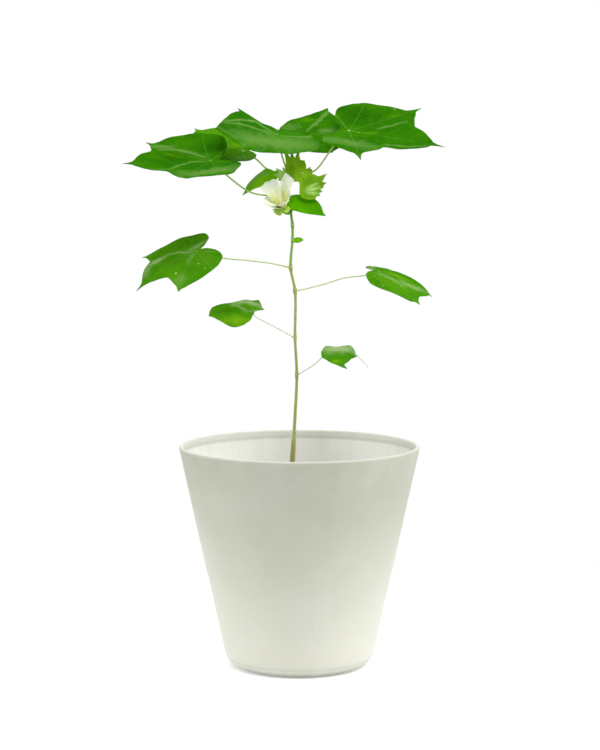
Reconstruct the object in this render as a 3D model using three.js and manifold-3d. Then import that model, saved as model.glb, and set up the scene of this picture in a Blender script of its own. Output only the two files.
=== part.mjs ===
// A young cotton plant in flower, growing in a tapered planter.
//
// Millimetres, +Z up. The origin is on the floor, at the centre of the planter's flat base, and
// +Y points away from the side that the plant shows best. Every piece is one closed solid in its
// own mesh: the planter, its soil, the stem with its taproot, each leaf with its stalk, and the
// pieces of the open flower and of the closed bud. Neighbours keep a gap of GAP between them.

import * as THREE from 'three';
import { mergeVertices } from 'three/addons/utils/BufferGeometryUtils.js';
import Module from 'manifold-3d';

const wasm = await Module();
wasm.setup();

// ---------------------------------------------------------------- driving dimensions

const GAP = 0.3; // between pieces that touch on the real plant

// Planter: a plain tapered pot with a rolled foot and a thickened band inside its rim.
const RIM_RADIUS = 140;
const POT_HEIGHT = 258;
const BASE_LINE_RADIUS = 84; // where the slanted wall would meet the floor
const FOOT_ROUNDING = 22;
const WALL = 3.2;
const RIM_WALL = 4.8;
const RIM_BAND = 6.5;
const POT_FLOOR = 5;
const DRAIN_RADIUS = 5;
const DRAIN_CIRCLE = 48;
const DRAIN_COUNT = 4;
const POT_SIDES = 48;

// Soil: level a hand's breadth below the rim, a little mounded round the stem.
const SOIL_LEVEL = 203;
const SOIL_MOUND = 5;
const SOIL_SIDES = 40;
const SOIL_RINGS = 7;

// Stem: a thin main shoot with a thicker neck where it leaves the soil.
const NECK_RADIUS = 3.0;
const STEM_RADIUS = 1.9;
const SHOOT_RADIUS = 1.35;
const STEM_SIDES = 8;

// Leaf blades and stalks.
const BLADE = 0.8;
const STALK_RADIUS = 1.0;
const THIN_STALK_RADIUS = 0.75;
const STALK_SIDES = 6;
const VEIN_ANGLES = [-150, -105, -55, 0, 55, 105, 150];
const PLEAT = 0.05; // how far the blade bulges between two veins, as a share of its length
const SPIKE_HALF_WIDTH = 4.5;
const SMALL_LEAF = 60; // shorter blades are made with fewer rings

const COLOURS = {
  pot: 0xd9dbcf,
  soil: 0x4a3a2c,
  stem: 0x7c9440,
  leaf: 0x3f8a20,
  paleLeaf: 0x58a01c,
  bract: 0x86b62c,
  petal: 0xf3f4e4,
  pollen: 0xe9df9a,
};

// ---------------------------------------------------------------- small helpers

const radians = THREE.MathUtils.degToRad;

function vector(point) {
  return new THREE.Vector3(point[0], point[1], point[2]);
}

// Makes a geometry one closed body: shared vertices are merged, slivers at a pole are dropped,
// and the faces are turned to point out.
function closedBody(source) {
  const bare = source.index ? source.toNonIndexed() : source.clone();
  bare.deleteAttribute('normal');
  bare.deleteAttribute('uv');
  const merged = mergeVertices(bare, 1e-4);
  const position = merged.getAttribute('position');
  const corners = Array.from(merged.index.array);
  const kept = [];
  let volume = 0;
  const a = new THREE.Vector3();
  const b = new THREE.Vector3();
  const c = new THREE.Vector3();
  for (let i = 0; i < corners.length; i += 3) {
    const [p, q, r] = corners.slice(i, i + 3);
    if (p === q || q === r || r === p) continue;
    a.fromBufferAttribute(position, p);
    b.fromBufferAttribute(position, q);
    c.fromBufferAttribute(position, r);
    volume += a.dot(b.cross(c)) / 6;
    kept.push(p, q, r);
  }
  if (volume < 0) {
    for (let i = 0; i < kept.length; i += 3) {
      [kept[i + 1], kept[i + 2]] = [kept[i + 2], kept[i + 1]];
    }
  }
  merged.setIndex(kept);
  return merged;
}

function toManifold(geometry) {
  const body = closedBody(geometry);
  const vertProperties = new Float32Array(body.getAttribute('position').array);
  const triVerts = new Uint32Array(body.index.array);
  return new wasm.Manifold(new wasm.Mesh({ numProp: 3, vertProperties, triVerts }));
}

function fromManifold(manifold) {
  const mesh = manifold.getMesh();
  const geometry = new THREE.BufferGeometry();
  geometry.setAttribute('position', new THREE.BufferAttribute(mesh.vertProperties, 3));
  geometry.setIndex(new THREE.BufferAttribute(mesh.triVerts, 1));
  return geometry;
}

function fuse(geometries) {
  let whole = toManifold(geometries[0]);
  for (const geometry of geometries.slice(1)) {
    whole = whole.add(toManifold(geometry));
  }
  return fromManifold(whole);
}

function cut(geometry, tool) {
  return fromManifold(toManifold(geometry).subtract(toManifold(tool)));
}

// Turns a profile of [radius, height] pairs round the Z axis.
function lathe(profile, sides) {
  const points = profile.map(([radius, height]) => new THREE.Vector2(radius, height));
  const turned = new THREE.LatheGeometry(points, sides);
  turned.rotateX(Math.PI / 2);
  return turned;
}

// Joins two skins of points, laid out alike in rows and columns, into one thin closed solid.
// In a ring the last column meets the first; otherwise all four edges get a rim.
function solidFromSkins(upper, lower, isRing) {
  const rows = upper.length;
  const columns = upper[0].length;
  const position = [];
  for (const skin of [upper, lower]) {
    for (const row of skin) {
      for (const point of row) position.push(point.x, point.y, point.z);
    }
  }
  const size = rows * columns;
  const at = (side, row, column) => side * size + row * columns + (column % columns);
  const index = [];
  const quad = (a, b, c, d) => index.push(a, b, c, a, c, d);
  const spans = isRing ? columns : columns - 1;
  for (let row = 0; row < rows - 1; row += 1) {
    for (let column = 0; column < spans; column += 1) {
      const next = column + 1;
      index.push(at(0, row, column), at(0, row, next), at(0, row + 1, next));
      index.push(at(0, row, column), at(0, row + 1, next), at(0, row + 1, column));
      index.push(at(1, row, column), at(1, row + 1, next), at(1, row, next));
      index.push(at(1, row, column), at(1, row + 1, column), at(1, row + 1, next));
    }
    if (!isRing) {
      quad(at(0, row, 0), at(0, row + 1, 0), at(1, row + 1, 0), at(1, row, 0));
      const end = columns - 1;
      quad(at(0, row + 1, end), at(0, row, end), at(1, row, end), at(1, row + 1, end));
    }
  }
  for (let column = 0; column < spans; column += 1) {
    const next = column + 1;
    const last = rows - 1;
    quad(at(0, last, column), at(0, last, next), at(1, last, next), at(1, last, column));
    quad(at(0, 0, next), at(0, 0, column), at(1, 0, column), at(1, 0, next));
  }
  const geometry = new THREE.BufferGeometry();
  geometry.setAttribute('position', new THREE.Float32BufferAttribute(position, 3));
  geometry.setIndex(index);
  return geometry;
}

// A round rod along a smooth curve. Each point of the route is [x, y, z, radius], and the rod
// gets the given number of steps between two points.
function taperedRod(route, sides, stepsPerSpan) {
  const curve = new THREE.CatmullRomCurve3(route.map(vector), false, 'centripetal');
  const spans = route.length - 1;
  const steps = spans * stepsPerSpan;
  const position = [];
  const start = curve.getPoint(0);
  const end = curve.getPoint(1);
  let normal = new THREE.Vector3(0.3, 1, 0.1);
  for (let step = 0; step <= steps; step += 1) {
    const centre = curve.getPoint(step / steps);
    const tangent = curve.getTangent(step / steps);
    normal = normal.addScaledVector(tangent, -normal.dot(tangent)).normalize();
    const binormal = new THREE.Vector3().crossVectors(tangent, normal);
    const first = Math.min(Math.floor(step / stepsPerSpan), spans - 1);
    const between = step / stepsPerSpan - first;
    const radius = THREE.MathUtils.lerp(route[first][3], route[first + 1][3], between);
    for (let side = 0; side < sides; side += 1) {
      const angle = (2 * Math.PI * side) / sides;
      const point = centre.clone();
      point.addScaledVector(normal, radius * Math.cos(angle));
      point.addScaledVector(binormal, radius * Math.sin(angle));
      position.push(point.x, point.y, point.z);
    }
  }
  position.push(start.x, start.y, start.z, end.x, end.y, end.z);
  const startHub = (steps + 1) * sides;
  const endHub = startHub + 1;
  const index = [];
  for (let side = 0; side < sides; side += 1) {
    const next = (side + 1) % sides;
    index.push(startHub, next, side);
    index.push(endHub, steps * sides + side, steps * sides + next);
    for (let step = 0; step < steps; step += 1) {
      const here = step * sides;
      const above = here + sides;
      index.push(here + side, here + next, above + next);
      index.push(here + side, above + next, above + side);
    }
  }
  const geometry = new THREE.BufferGeometry();
  geometry.setAttribute('position', new THREE.Float32BufferAttribute(position, 3));
  geometry.setIndex(index);
  return geometry;
}

// The same route with every radius larger by a margin.
function fattened(route, margin) {
  return route.map(([x, y, z, radius]) => [x, y, z, radius + margin]);
}

// A small rounded swelling, such as the joint that a leaf stalk leaves from.
function swelling(centre, radius, stretch) {
  const bump = new THREE.SphereGeometry(radius, 6, 4);
  bump.scale(1, 1, stretch);
  bump.translate(centre[0], centre[1], centre[2]);
  return bump;
}

// ---------------------------------------------------------------- planter

function wallRadius(height) {
  return BASE_LINE_RADIUS + ((RIM_RADIUS - BASE_LINE_RADIUS) * height) / POT_HEIGHT;
}

// Arc of the rolled foot between a level floor and the slanted wall, as [radius, height] pairs.
// wallLine is the wall's radius at height 0 and lift is the height of the floor.
function footArc(wallLine, lift, rounding, steps) {
  const slope = Math.atan((RIM_RADIUS - BASE_LINE_RADIUS) / POT_HEIGHT);
  const wallAtLift = wallLine + Math.tan(slope) * lift;
  const centre = wallAtLift - rounding / Math.cos(slope) + rounding * Math.tan(slope);
  const arc = [];
  for (let step = 0; step <= steps; step += 1) {
    const angle = THREE.MathUtils.lerp(-Math.PI / 2, -slope, step / steps);
    arc.push([centre + rounding * Math.cos(angle), lift + rounding + rounding * Math.sin(angle)]);
  }
  return arc;
}

function innerRadius(height) {
  return wallRadius(height) - WALL;
}

function potGeometry() {
  const edge = RIM_WALL / 2;
  const rimCentre = POT_HEIGHT - edge;
  const outside = footArc(BASE_LINE_RADIUS, 0, FOOT_ROUNDING, 4);
  const rim = [];
  const rimSteps = 4;
  for (let step = 0; step <= rimSteps; step += 1) {
    const angle = (Math.PI * step) / rimSteps;
    const middle = wallRadius(rimCentre) - edge;
    rim.push([middle + edge * Math.cos(angle), rimCentre + edge * Math.sin(angle)]);
  }
  const bandFoot = POT_HEIGHT - RIM_BAND;
  const band = [
    [wallRadius(bandFoot) - RIM_WALL, bandFoot],
    [innerRadius(bandFoot - 1), bandFoot - 1],
  ];
  const inside = footArc(BASE_LINE_RADIUS - WALL, POT_FLOOR, FOOT_ROUNDING - WALL, 3).reverse();
  const profile = [[0, 0], ...outside, ...rim, ...band, ...inside, [0, POT_FLOOR]];
  let pot = lathe(profile, POT_SIDES);
  for (let hole = 0; hole < DRAIN_COUNT; hole += 1) {
    const angle = (2 * Math.PI * (hole + 0.5)) / DRAIN_COUNT;
    const drill = new THREE.CylinderGeometry(DRAIN_RADIUS, DRAIN_RADIUS, 3 * POT_FLOOR, 12);
    drill.rotateX(Math.PI / 2);
    drill.translate(DRAIN_CIRCLE * Math.cos(angle), DRAIN_CIRCLE * Math.sin(angle), 0);
    pot = cut(pot, drill);
  }
  return pot;
}

// ---------------------------------------------------------------- stem and taproot

// The main shoot, from the tip of the taproot to its top among the young leaves, as points of
// its centre line with the radius there.
const MAIN_SHOOT = [
  [-9, 1, 120, 0.8],
  [-8, 0, 165, 2.2],
  [-8, 0, 205, NECK_RADIUS],
  [-8, 0, 239, NECK_RADIUS],
  [-7, 0, 257, NECK_RADIUS - 0.2],
  [-6.7, 0, 262, STEM_RADIUS],
  [-5, 0, 293, STEM_RADIUS],
  [-3, 0, 340, STEM_RADIUS],
  [-5, 0, 383, STEM_RADIUS],
  [-5, 0, 437, STEM_RADIUS],
  [-10, 0, 464, 1.8],
  [-8, 0, 496, 1.7],
  [-8, 0, 513, 1.7],
  [-10, 0, 528, 1.6],
  [-12, 1, 547, 1.5],
  [-13, 2, 567, SHOOT_RADIUS],
];
const FLOWER_BASE = [-19.5, -15, 532];
const BUD_BASE = [3, -7, 565];

// Joints where a stalk leaves the shoot: place, radius and stretch along the shoot.
const JOINTS = [
  [[-3, 0, 340], 2.7, 1.5],
  [[-5, 0, 383], 2.6, 1.5],
  [[-5, 0, 437.5], 3.0, 1.5],
  [[-10, 0, 464], 2.8, 1.5],
  [[-8.5, 0, 496], 2.2, 1.6],
  [[-8.5, 0, 513], 2.4, 1.4],
  [[-11, 0, 531], 2.6, 1.8],
  [[-12, 1, 545], 2.1, 1.6],
  [[-13, 2, 561], 2.4, 2.2],
];

// The shoot, its taproot and its joints. A margin makes a fatter copy to trim neighbours with.
function shootGeometry(margin) {
  const pieces = [taperedRod(fattened(MAIN_SHOOT, margin), STEM_SIDES, 2)];
  for (const [centre, radius, stretch] of JOINTS) {
    pieces.push(swelling(centre, radius + margin, stretch));
  }
  return fuse(pieces);
}

// Two short side branches: one ends in the open flower and the other in the bud.
const FLOWER_BRANCH = [
  [-10.5, 0, 527, 1.7],
  [-14, -5, 526.5, 1.6],
  [-18.4, -12, 529, 1.6],
  [...FLOWER_BASE, 1.9],
];
const BUD_BRANCH = [
  [-13, 1.5, 560, 1.2],
  [-8, -3, 561, 1.1],
  [-1.5, -6.5, 562.6, 1.2],
  [...BUD_BASE, 1.6],
];

function branchesGeometry(margin) {
  return fuse([FLOWER_BRANCH, BUD_BRANCH].map(
    (route) => taperedRod(fattened(route, margin), STALK_SIDES, 2),
  ));
}

// Shoot, branches and one small stipule, grown as one.
function stemGeometry() {
  const stipule = bladeSolid({
    joint: [-7.6, 0, 495.6], heading: -6, rise: 4, roll: 35, length: 12,
    edge: [[0, 12.2, 0], [25, 7.2, 0], [60, 2.9, 0], [120, 1.6, 0], [180, 1.4, 0],
      [-120, 1.6, 0], [-60, 2.9, 0], [-25, 7.2, 0]],
  }, 2, 30);
  return fuse([shootGeometry(0), branchesGeometry(0), stipule]);
}

// ---------------------------------------------------------------- soil

// Height of the crumbly surface above the planter's floor line, at a place on it.
function soilHeight(x, y) {
  const outward = Math.min(1, Math.hypot(x, y) / innerRadius(SOIL_LEVEL));
  const clods = Math.sin(0.21 * x + 1.3) * Math.cos(0.17 * y - 0.4) * 1.6;
  const crumbs = Math.sin(0.47 * x + 0.31 * y) * Math.cos(0.39 * x - 0.52 * y + 0.8) * 1.1;
  return SOIL_LEVEL + SOIL_MOUND * (1 - outward * outward) + clods + crumbs;
}

function soilGeometry() {
  const bottom = footArc(
    BASE_LINE_RADIUS - WALL - GAP, POT_FLOOR + GAP, FOOT_ROUNDING - WALL - GAP, 3,
  );
  const rim = innerRadius(SOIL_LEVEL) - GAP - 0.3;
  const profile = [[0, POT_FLOOR + GAP], ...bottom];
  for (let ring = 0; ring <= SOIL_RINGS; ring += 1) {
    profile.push([rim * (1 - ring / SOIL_RINGS), SOIL_LEVEL]);
  }
  const soil = lathe(profile, SOIL_SIDES);
  const position = soil.getAttribute('position');
  for (let i = 0; i < position.count; i += 1) {
    const x = position.getX(i);
    const y = position.getY(i);
    const isInside = Math.hypot(x, y) < rim - 1;
    if (position.getZ(i) > SOIL_LEVEL - 1 && isInside) {
      position.setZ(i, soilHeight(x, y));
    }
  }
  return cut(soil, shootGeometry(GAP));
}

// ---------------------------------------------------------------- leaves

// How far the blade's edge is from its joint, in a direction given in degrees from the midrib.
// Each point of an edge is [angle, distance, spike]: the edge eases from one to the next, and
// a spike adds a fine point of that length to a lobe.
function edgeDistance(leaf, angle) {
  const edge = [...leaf.edge].sort((a, b) => a[0] - b[0]);
  const wrapped = THREE.MathUtils.euclideanModulo(angle + 180, 360) - 180;
  const after = edge.findIndex(([start]) => start > wrapped);
  const next = after < 0 ? 0 : after;
  const last = (next - 1 + edge.length) % edge.length;
  const span = THREE.MathUtils.euclideanModulo(edge[next][0] - edge[last][0], 360);
  const passed = THREE.MathUtils.euclideanModulo(wrapped - edge[last][0], 360);
  const ease = (1 - Math.cos((Math.PI * passed) / span)) / 2;
  let distance = THREE.MathUtils.lerp(edge[last][1], edge[next][1], ease);
  for (const [lobe, reach, spike] of edge) {
    const off = Math.abs(THREE.MathUtils.euclideanModulo(wrapped - lobe + 180, 360) - 180);
    const width = THREE.MathUtils.radToDeg(SPIKE_HALF_WIDTH / reach);
    distance += spike * Math.max(0, 1 - off / width) ** 2;
  }
  return distance;
}

// The directions to place points in: every point of the edge, the foot of each spike, and
// enough in between to keep the edge round.
function edgeAngles(leaf, widest) {
  const angles = [];
  for (const [angle, distance, spike] of leaf.edge) {
    angles.push(angle);
    if (spike > 0) {
      const width = THREE.MathUtils.radToDeg(SPIKE_HALF_WIDTH / distance);
      angles.push(angle - width, angle + width);
    }
  }
  const sorted = angles
    .map((angle) => THREE.MathUtils.euclideanModulo(angle, 360))
    .sort((a, b) => a - b);
  const filled = [];
  sorted.forEach((angle, i) => {
    const next = i + 1 < sorted.length ? sorted[i + 1] : sorted[0] + 360;
    const parts = Math.max(1, Math.ceil((next - angle) / widest));
    for (let part = 0; part < parts; part += 1) {
      const candidate = angle + ((next - angle) * part) / parts;
      const isApart = filled.length === 0 || candidate - filled[filled.length - 1] > 0.5;
      if (isApart) filled.push(candidate);
    }
  });
  return filled;
}

function pleatAt(angle) {
  const wrapped = THREE.MathUtils.euclideanModulo(angle + 180, 360) - 180;
  const veins = [...VEIN_ANGLES, VEIN_ANGLES[0] + 360];
  let after = veins.findIndex((vein) => vein > wrapped);
  if (after <= 0) after = veins.length - 1;
  const start = veins[after - 1];
  const turned = wrapped < VEIN_ANGLES[0] ? wrapped + 360 : wrapped;
  return Math.sin((Math.PI * (turned - start)) / (veins[after] - start));
}

// A point of the blade's surface in the leaf's own frame: x along the midrib, y to its left.
function bladePoint(leaf, angle, distance) {
  const { length, foldLeft = 0, foldRight = 0, droop = 0, dip = 0 } = leaf;
  const x = distance * Math.cos(radians(angle));
  const y = distance * Math.sin(radians(angle));
  const fold = y > 0 ? foldLeft : foldRight;
  let z = PLEAT * distance * pleatAt(angle) * Math.min(1, distance / length);
  z -= (fold * y * y) / (Math.abs(y) + 0.15 * length);
  z -= (droop * distance * distance) / length;
  z -= (dip * Math.max(0, x) ** 2) / length;
  return new THREE.Vector3(x, y, z);
}

// Heading is the compass direction of the midrib from +X towards +Y, rise lifts the tip, and
// roll lifts the blade's left half.
function leafMatrix(leaf) {
  const heading = radians(leaf.heading);
  const rise = radians(leaf.rise);
  const roll = radians(leaf.roll);
  const along = new THREE.Vector3(
    Math.cos(rise) * Math.cos(heading), Math.cos(rise) * Math.sin(heading), Math.sin(rise),
  );
  const level = new THREE.Vector3(-Math.sin(heading), Math.cos(heading), 0);
  const up = new THREE.Vector3().crossVectors(along, level);
  const left = level.clone().multiplyScalar(Math.cos(roll)).addScaledVector(up, Math.sin(roll));
  const out = up.clone().multiplyScalar(Math.cos(roll)).addScaledVector(level, -Math.sin(roll));
  const matrix = new THREE.Matrix4().makeBasis(along, left, out);
  matrix.setPosition(vector(leaf.joint));
  return matrix;
}

// The blade as a thin solid: two skins of rings round the joint, triangulated alike.
function bladeSolid(leaf, rings = 3, widest = 13) {
  const angles = edgeAngles(leaf, widest);
  const matrix = leafMatrix(leaf);
  const skin = (lift) => {
    const rows = [];
    for (let ring = 0; ring <= rings; ring += 1) {
      const share = (ring / rings) ** 0.85;
      rows.push(angles.map((angle) => {
        const point = bladePoint(leaf, angle, share * edgeDistance(leaf, angle));
        point.z += lift;
        return point.applyMatrix4(matrix);
      }));
    }
    return rows;
  };
  return solidFromSkins(skin(BLADE / 2), skin(-BLADE / 2), true);
}

// A leaf is its blade and the stalk that carries it, trimmed clear of the shoot.
function leafGeometry(leaf) {
  const { stalk, joint, stalkRadius } = leaf;
  const route = [...stalk, joint].map((point) => [...point, stalkRadius]);
  route[0][3] = stalkRadius * 1.4;
  const blade = bladeSolid(leaf, leaf.length > SMALL_LEAF ? 3 : 2);
  return cut(fuse([blade, taperedRod(route, STALK_SIDES, 2)]), shootGeometry(GAP));
}

// Each leaf: its joint, how the blade is turned and shaped, its stalk from the shoot outward,
// and its edge as [degrees from the midrib, distance from the joint, length of the point].
const LEAVES = {
  leaf_left: {
    joint: [-101, -40, 587], heading: 197, rise: -6, roll: -19, length: 100,
    foldLeft: -0.06, foldRight: -0.06, droop: -0.05, dip: -0.03, stalkRadius: STALK_RADIUS,
    stalk: [[-13, 3, 542], [-32, 5, 543], [-53, -1, 549], [-62, -7, 554], [-74, -16, 563],
      [-83, -25, 571]],
    edge: [[0, 91, 10], [14, 90, 0], [24, 86, 0], [32, 71, 0], [49, 79, 2], [66, 72, 0],
      [89, 68, 0], [112, 49, 0], [145, 36, 0], [180, 11, 0], [-142, 30, 0], [-130, 48, 0],
      [-118, 65, 0], [-100, 72, 0], [-81, 70, 0], [-60, 74, 0], [-43, 75, 7], [-29, 68, 0],
      [-17, 78, 0], [-6, 86, 0]],
  },
  leaf_back_left: {
    joint: [-67, 35, 598], heading: 186, rise: 0, roll: -24, length: 85,
    stalkRadius: STALK_RADIUS,
    stalk: [[-14, 2.5, 560], [-22, 15, 567], [-33, 22.5, 574.5], [-39, 25, 578], [-51, 30, 589]],
    edge: [[0, 78, 6], [27, 56, 0], [45, 50, 2], [65, 34, 0], [101, 29, 0], [124, 25, 0],
      [144, 20, 0], [180, 9, 0], [-138, 25, 0], [-105, 47, 0], [-86, 60, 0], [-62, 69, 0],
      [-50, 74, 7], [-30, 66, 0]],
  },
  leaf_centre: {
    joint: [-26, -10, 617], heading: 191, rise: 4, roll: -31, length: 80,
    foldLeft: -0.02, foldRight: -0.02, dip: -0.03, stalkRadius: STALK_RADIUS,
    stalk: [[-13.4, 1.6, 568.4], [-14.6, 0, 575], [-17, -4, 583], [-21, -8, 596]],
    edge: [[0, 69, 2], [9, 66, 0], [26, 62, 0], [41, 58, 0], [59, 53, 0], [73, 49, 0], [91, 45, 0],
      [117, 46, 0], [142, 53, 0], [160, 51, 0], [174, 43, 0], [-172, 38, 0], [-160, 29, 0],
      [-141, 13, 0], [-102, 10, 0], [-74, 16, 0], [-56, 27, 0], [-51, 55, 9], [-40, 59, 0],
      [-27, 60, 0], [-12, 64, 0]],
  },
  leaf_back_right: {
    joint: [6, 45, 618], heading: 5, rise: -2, roll: 33, length: 78,
    foldRight: 0.05, stalkRadius: STALK_RADIUS,
    stalk: [[-12.5, 3.5, 566], [-8, 14, 577], [-1, 29, 594], [3, 38, 605]],
    edge: [[0, 66, 6], [22, 52, 0], [48, 55, 0], [61, 59, 5], [69, 49, 0], [79, 40, 0],
      [94, 34, 0], [118, 31, 0], [141, 29, 0], [168, 30, 0], [-170, 9, 0], [-148, 26, 0],
      [-120, 32, 0], [-103, 34, 0], [-72, 41, 0], [-51, 46, 2], [-26, 50, 0]],
  },
  leaf_right: {
    joint: [57, 0, 621], heading: -25, rise: -8, roll: 24, length: 114,
    foldLeft: -0.06, foldRight: -0.07, droop: -0.03, dip: 0.05, stalkRadius: STALK_RADIUS,
    stalk: [[-11, 3, 557], [-4, 4, 559], [5, 3, 563], [18, 3, 573.5], [34, -4, 596],
      [43, -6, 608]],
    edge: [[0, 104, 14], [8, 94, 0], [16, 84, 0], [23, 75, 0], [34, 76, 0], [45, 82, 0],
      [51, 85, 9], [56, 77, 0], [66, 70, 0], [86, 64, 0], [100, 66, 0], [117, 61, 0], [128, 56, 0],
      [138, 42, 0], [165, 12, 0], [-150, 14, 0], [-115, 40, 0], [-85, 52, 0], [-71, 61, 0],
      [-57, 73, 21], [-48, 69, 0], [-38, 70, 0], [-30, 67, 0], [-24, 84, 0], [-16, 95, 0],
      [-6, 103, 0]],
  },
  leaf_mid_left: {
    joint: [-118, -25, 484], heading: 198, rise: -19, roll: -23, length: 80,
    foldRight: 0.06, droop: 0.14, dip: 0.14, stalkRadius: THIN_STALK_RADIUS,
    stalk: [[-12, -0.5, 464.5], [-31, -6, 469], [-60, -12, 473], [-87, -18, 476], [-103, -23, 481]],
    edge: [[0, 70, 9], [8, 62, 0], [18, 53, 0], [25, 50, 0], [43, 59, 0], [49, 64, 4], [58, 60, 0],
      [70, 56, 0], [85, 49, 0], [107, 41, 0], [123, 37, 0], [149, 25, 0], [170, 15, 0],
      [-165, 7, 0], [-146, 21, 0], [-138, 34, 0], [-120, 47, 0], [-99, 49, 0], [-72, 49, 0],
      [-47, 66, 7], [-31, 56, 0], [-20, 62, 0], [-10, 66, 0]],
  },
  leaf_low_left: {
    joint: [-57, 20, 412], heading: 193, rise: 1, roll: -24, length: 50,
    foldRight: 0.07, droop: 0.1, dip: 0.02, stalkRadius: THIN_STALK_RADIUS,
    stalk: [[-7, 1, 383.4], [-18, 6, 389.5], [-31, 11, 396], [-54, 19, 408]],
    edge: [[0, 47, 1], [12, 45, 0], [25, 43, 0], [47, 42, 0], [58, 38, 0], [74, 25, 0],
      [97, 10, 0], [150, 6, 0], [180, 5, 0], [-162, 17, 0], [-135, 34, 0], [-114, 39, 0],
      [-95, 36, 0], [-72, 32, 0], [-52, 35, 0], [-20, 45, 1]],
  },
  leaf_mid_right: {
    joint: [93, 25, 458], heading: 10, rise: -13, roll: 17, length: 70,
    foldLeft: 0.05, foldRight: 0.05, droop: 0.15, dip: 0.08, stalkRadius: THIN_STALK_RADIUS,
    stalk: [[-3, 0.5, 437.6], [8, 4, 439.5], [31, 12, 445], [52, 18, 451], [77, 23, 454]],
    edge: [[0, 65, 5], [22, 58, 0], [46, 43, 0], [80, 22, 0], [130, 18, 0], [160, 17, 0],
      [180, 7, 0], [-133, 27, 0], [-112, 39, 0], [-84, 48, 0], [-62, 57, 0], [-47, 62, 5],
      [-35, 57, 0], [-18, 61, 0]],
  },
  leaf_low_right: {
    joint: [29, -20, 365], heading: 7, rise: -11, roll: 26, length: 40,
    foldRight: -0.04, dip: -0.1, stalkRadius: THIN_STALK_RADIUS,
    stalk: [[-1.5, -0.5, 340.8], [3, -4, 343], [18, -13, 353]],
    edge: [[0, 36, 2], [21, 37, 0], [41, 37, 0], [58, 27, 0], [80, 16, 0], [125, 8, 0],
      [180, 4, 0], [-95, 9, 0], [-58, 22, 0], [-48, 30, 7], [-36, 28, 0], [-20, 29, 0], [-6, 31, 0]],
  },
  young_leaf_left: {
    joint: [-27, 4, 573], heading: 176, rise: -30, roll: -38, length: 48,
    foldLeft: 0.25, foldRight: 0.12, droop: 0.08, stalkRadius: THIN_STALK_RADIUS,
    stalk: [[-13, 2, 562.5], [-19, 3, 571]],
    edge: [[0, 42, 5], [8, 31, 0], [24, 21, 0], [53, 12, 0], [110, 7, 0], [180, 3, 0],
      [-110, 10, 0], [-65, 20, 0], [-50, 25, 0], [-30, 31, 0], [-14, 38, 0]],
  },
  young_leaf_right: {
    joint: [-11, -5.5, 539.5], heading: -12, rise: -14, roll: 58, length: 47,
    foldLeft: 0.05, foldRight: 0.05, droop: 0.16, stalkRadius: THIN_STALK_RADIUS,
    stalk: [[-11.5, -0.5, 537]],
    edge: [[-3, 40, 4], [10, 34, 0], [26, 28, 0], [38, 23, 0], [56, 16, 0], [105, 8, 0],
      [150, 5, 0], [180, 4, 0], [-154, 4, 0], [-90, 8, 0], [-43, 13, 0], [-26, 20, 0], [-12, 31, 0]],
  },
};

// ---------------------------------------------------------------- flower and bud

// The axis of the open flower leans towards the front and a little to the left.
const FLOWER_AXIS = [-0.12, -0.6, 0.79];
const BUD_AXIS = [0.05, 0.08, 0.98];

// A frame with Z along an axis and Y as near straight up as it can be, set on a base point.
function axisMatrix(base, axis, lift) {
  const along = vector(axis).normalize();
  const side = new THREE.Vector3().crossVectors(new THREE.Vector3(0, 0, 1), along).normalize();
  const up = new THREE.Vector3().crossVectors(along, side);
  const matrix = new THREE.Matrix4().makeBasis(side, up, along);
  matrix.setPosition(vector(base).addScaledVector(along, lift));
  return matrix;
}

const CALYX_HEIGHT = 3;
const CALYX_RADIUS = 4.6;
const PETAL = 0.8;
const PETAL_ROWS = 5;
const PETAL_COLUMNS = 5;
const PETAL_HALF_ANGLE = 47;

// Petals in turn round the axis: direction in degrees from straight up, height along the axis,
// and spread away from it.
const PETALS = [
  { turn: -18, height: 33, spread: 17 },
  { turn: -92, height: 28, spread: 10 },
  { turn: -164, height: 20, spread: 17 },
  { turn: 128, height: 20, spread: 18 },
  { turn: 56, height: 29, spread: 14 },
];

function petalGeometry({ turn, height, spread }) {
  const skin = (offset) => {
    const rows = [];
    for (let row = 0; row <= PETAL_ROWS; row += 1) {
      const v = row / PETAL_ROWS;
      const points = [];
      for (let column = 0; column <= PETAL_COLUMNS; column += 1) {
        const u = (2 * column) / PETAL_COLUMNS - 1;
        const angle = radians(90 + turn + u * PETAL_HALF_ANGLE * (1 - 0.22 * v ** 4));
        const radius = 3.4 + spread * v ** 1.5 + 1.5 * u * Math.sqrt(v) + offset;
        const rise = height * v * (1 - 0.16 * u * u * v ** 3) + 0.7 * Math.sin(5 * u) * v ** 3;
        points.push(new THREE.Vector3(radius * Math.cos(angle), radius * Math.sin(angle), rise));
      }
      rows.push(points);
    }
    return rows;
  };
  return solidFromSkins(skin(PETAL), skin(0), false);
}

function corollaGeometry() {
  const cup = lathe([[0, 0], [4.2, 0], [4.6, 2.5], [3.2, 3.6], [0, 3.6]], 14);
  const corolla = fuse([cup, ...PETALS.map(petalGeometry)]);
  return corolla.applyMatrix4(axisMatrix(FLOWER_BASE, FLOWER_AXIS, 2 * GAP + CALYX_HEIGHT));
}

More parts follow.
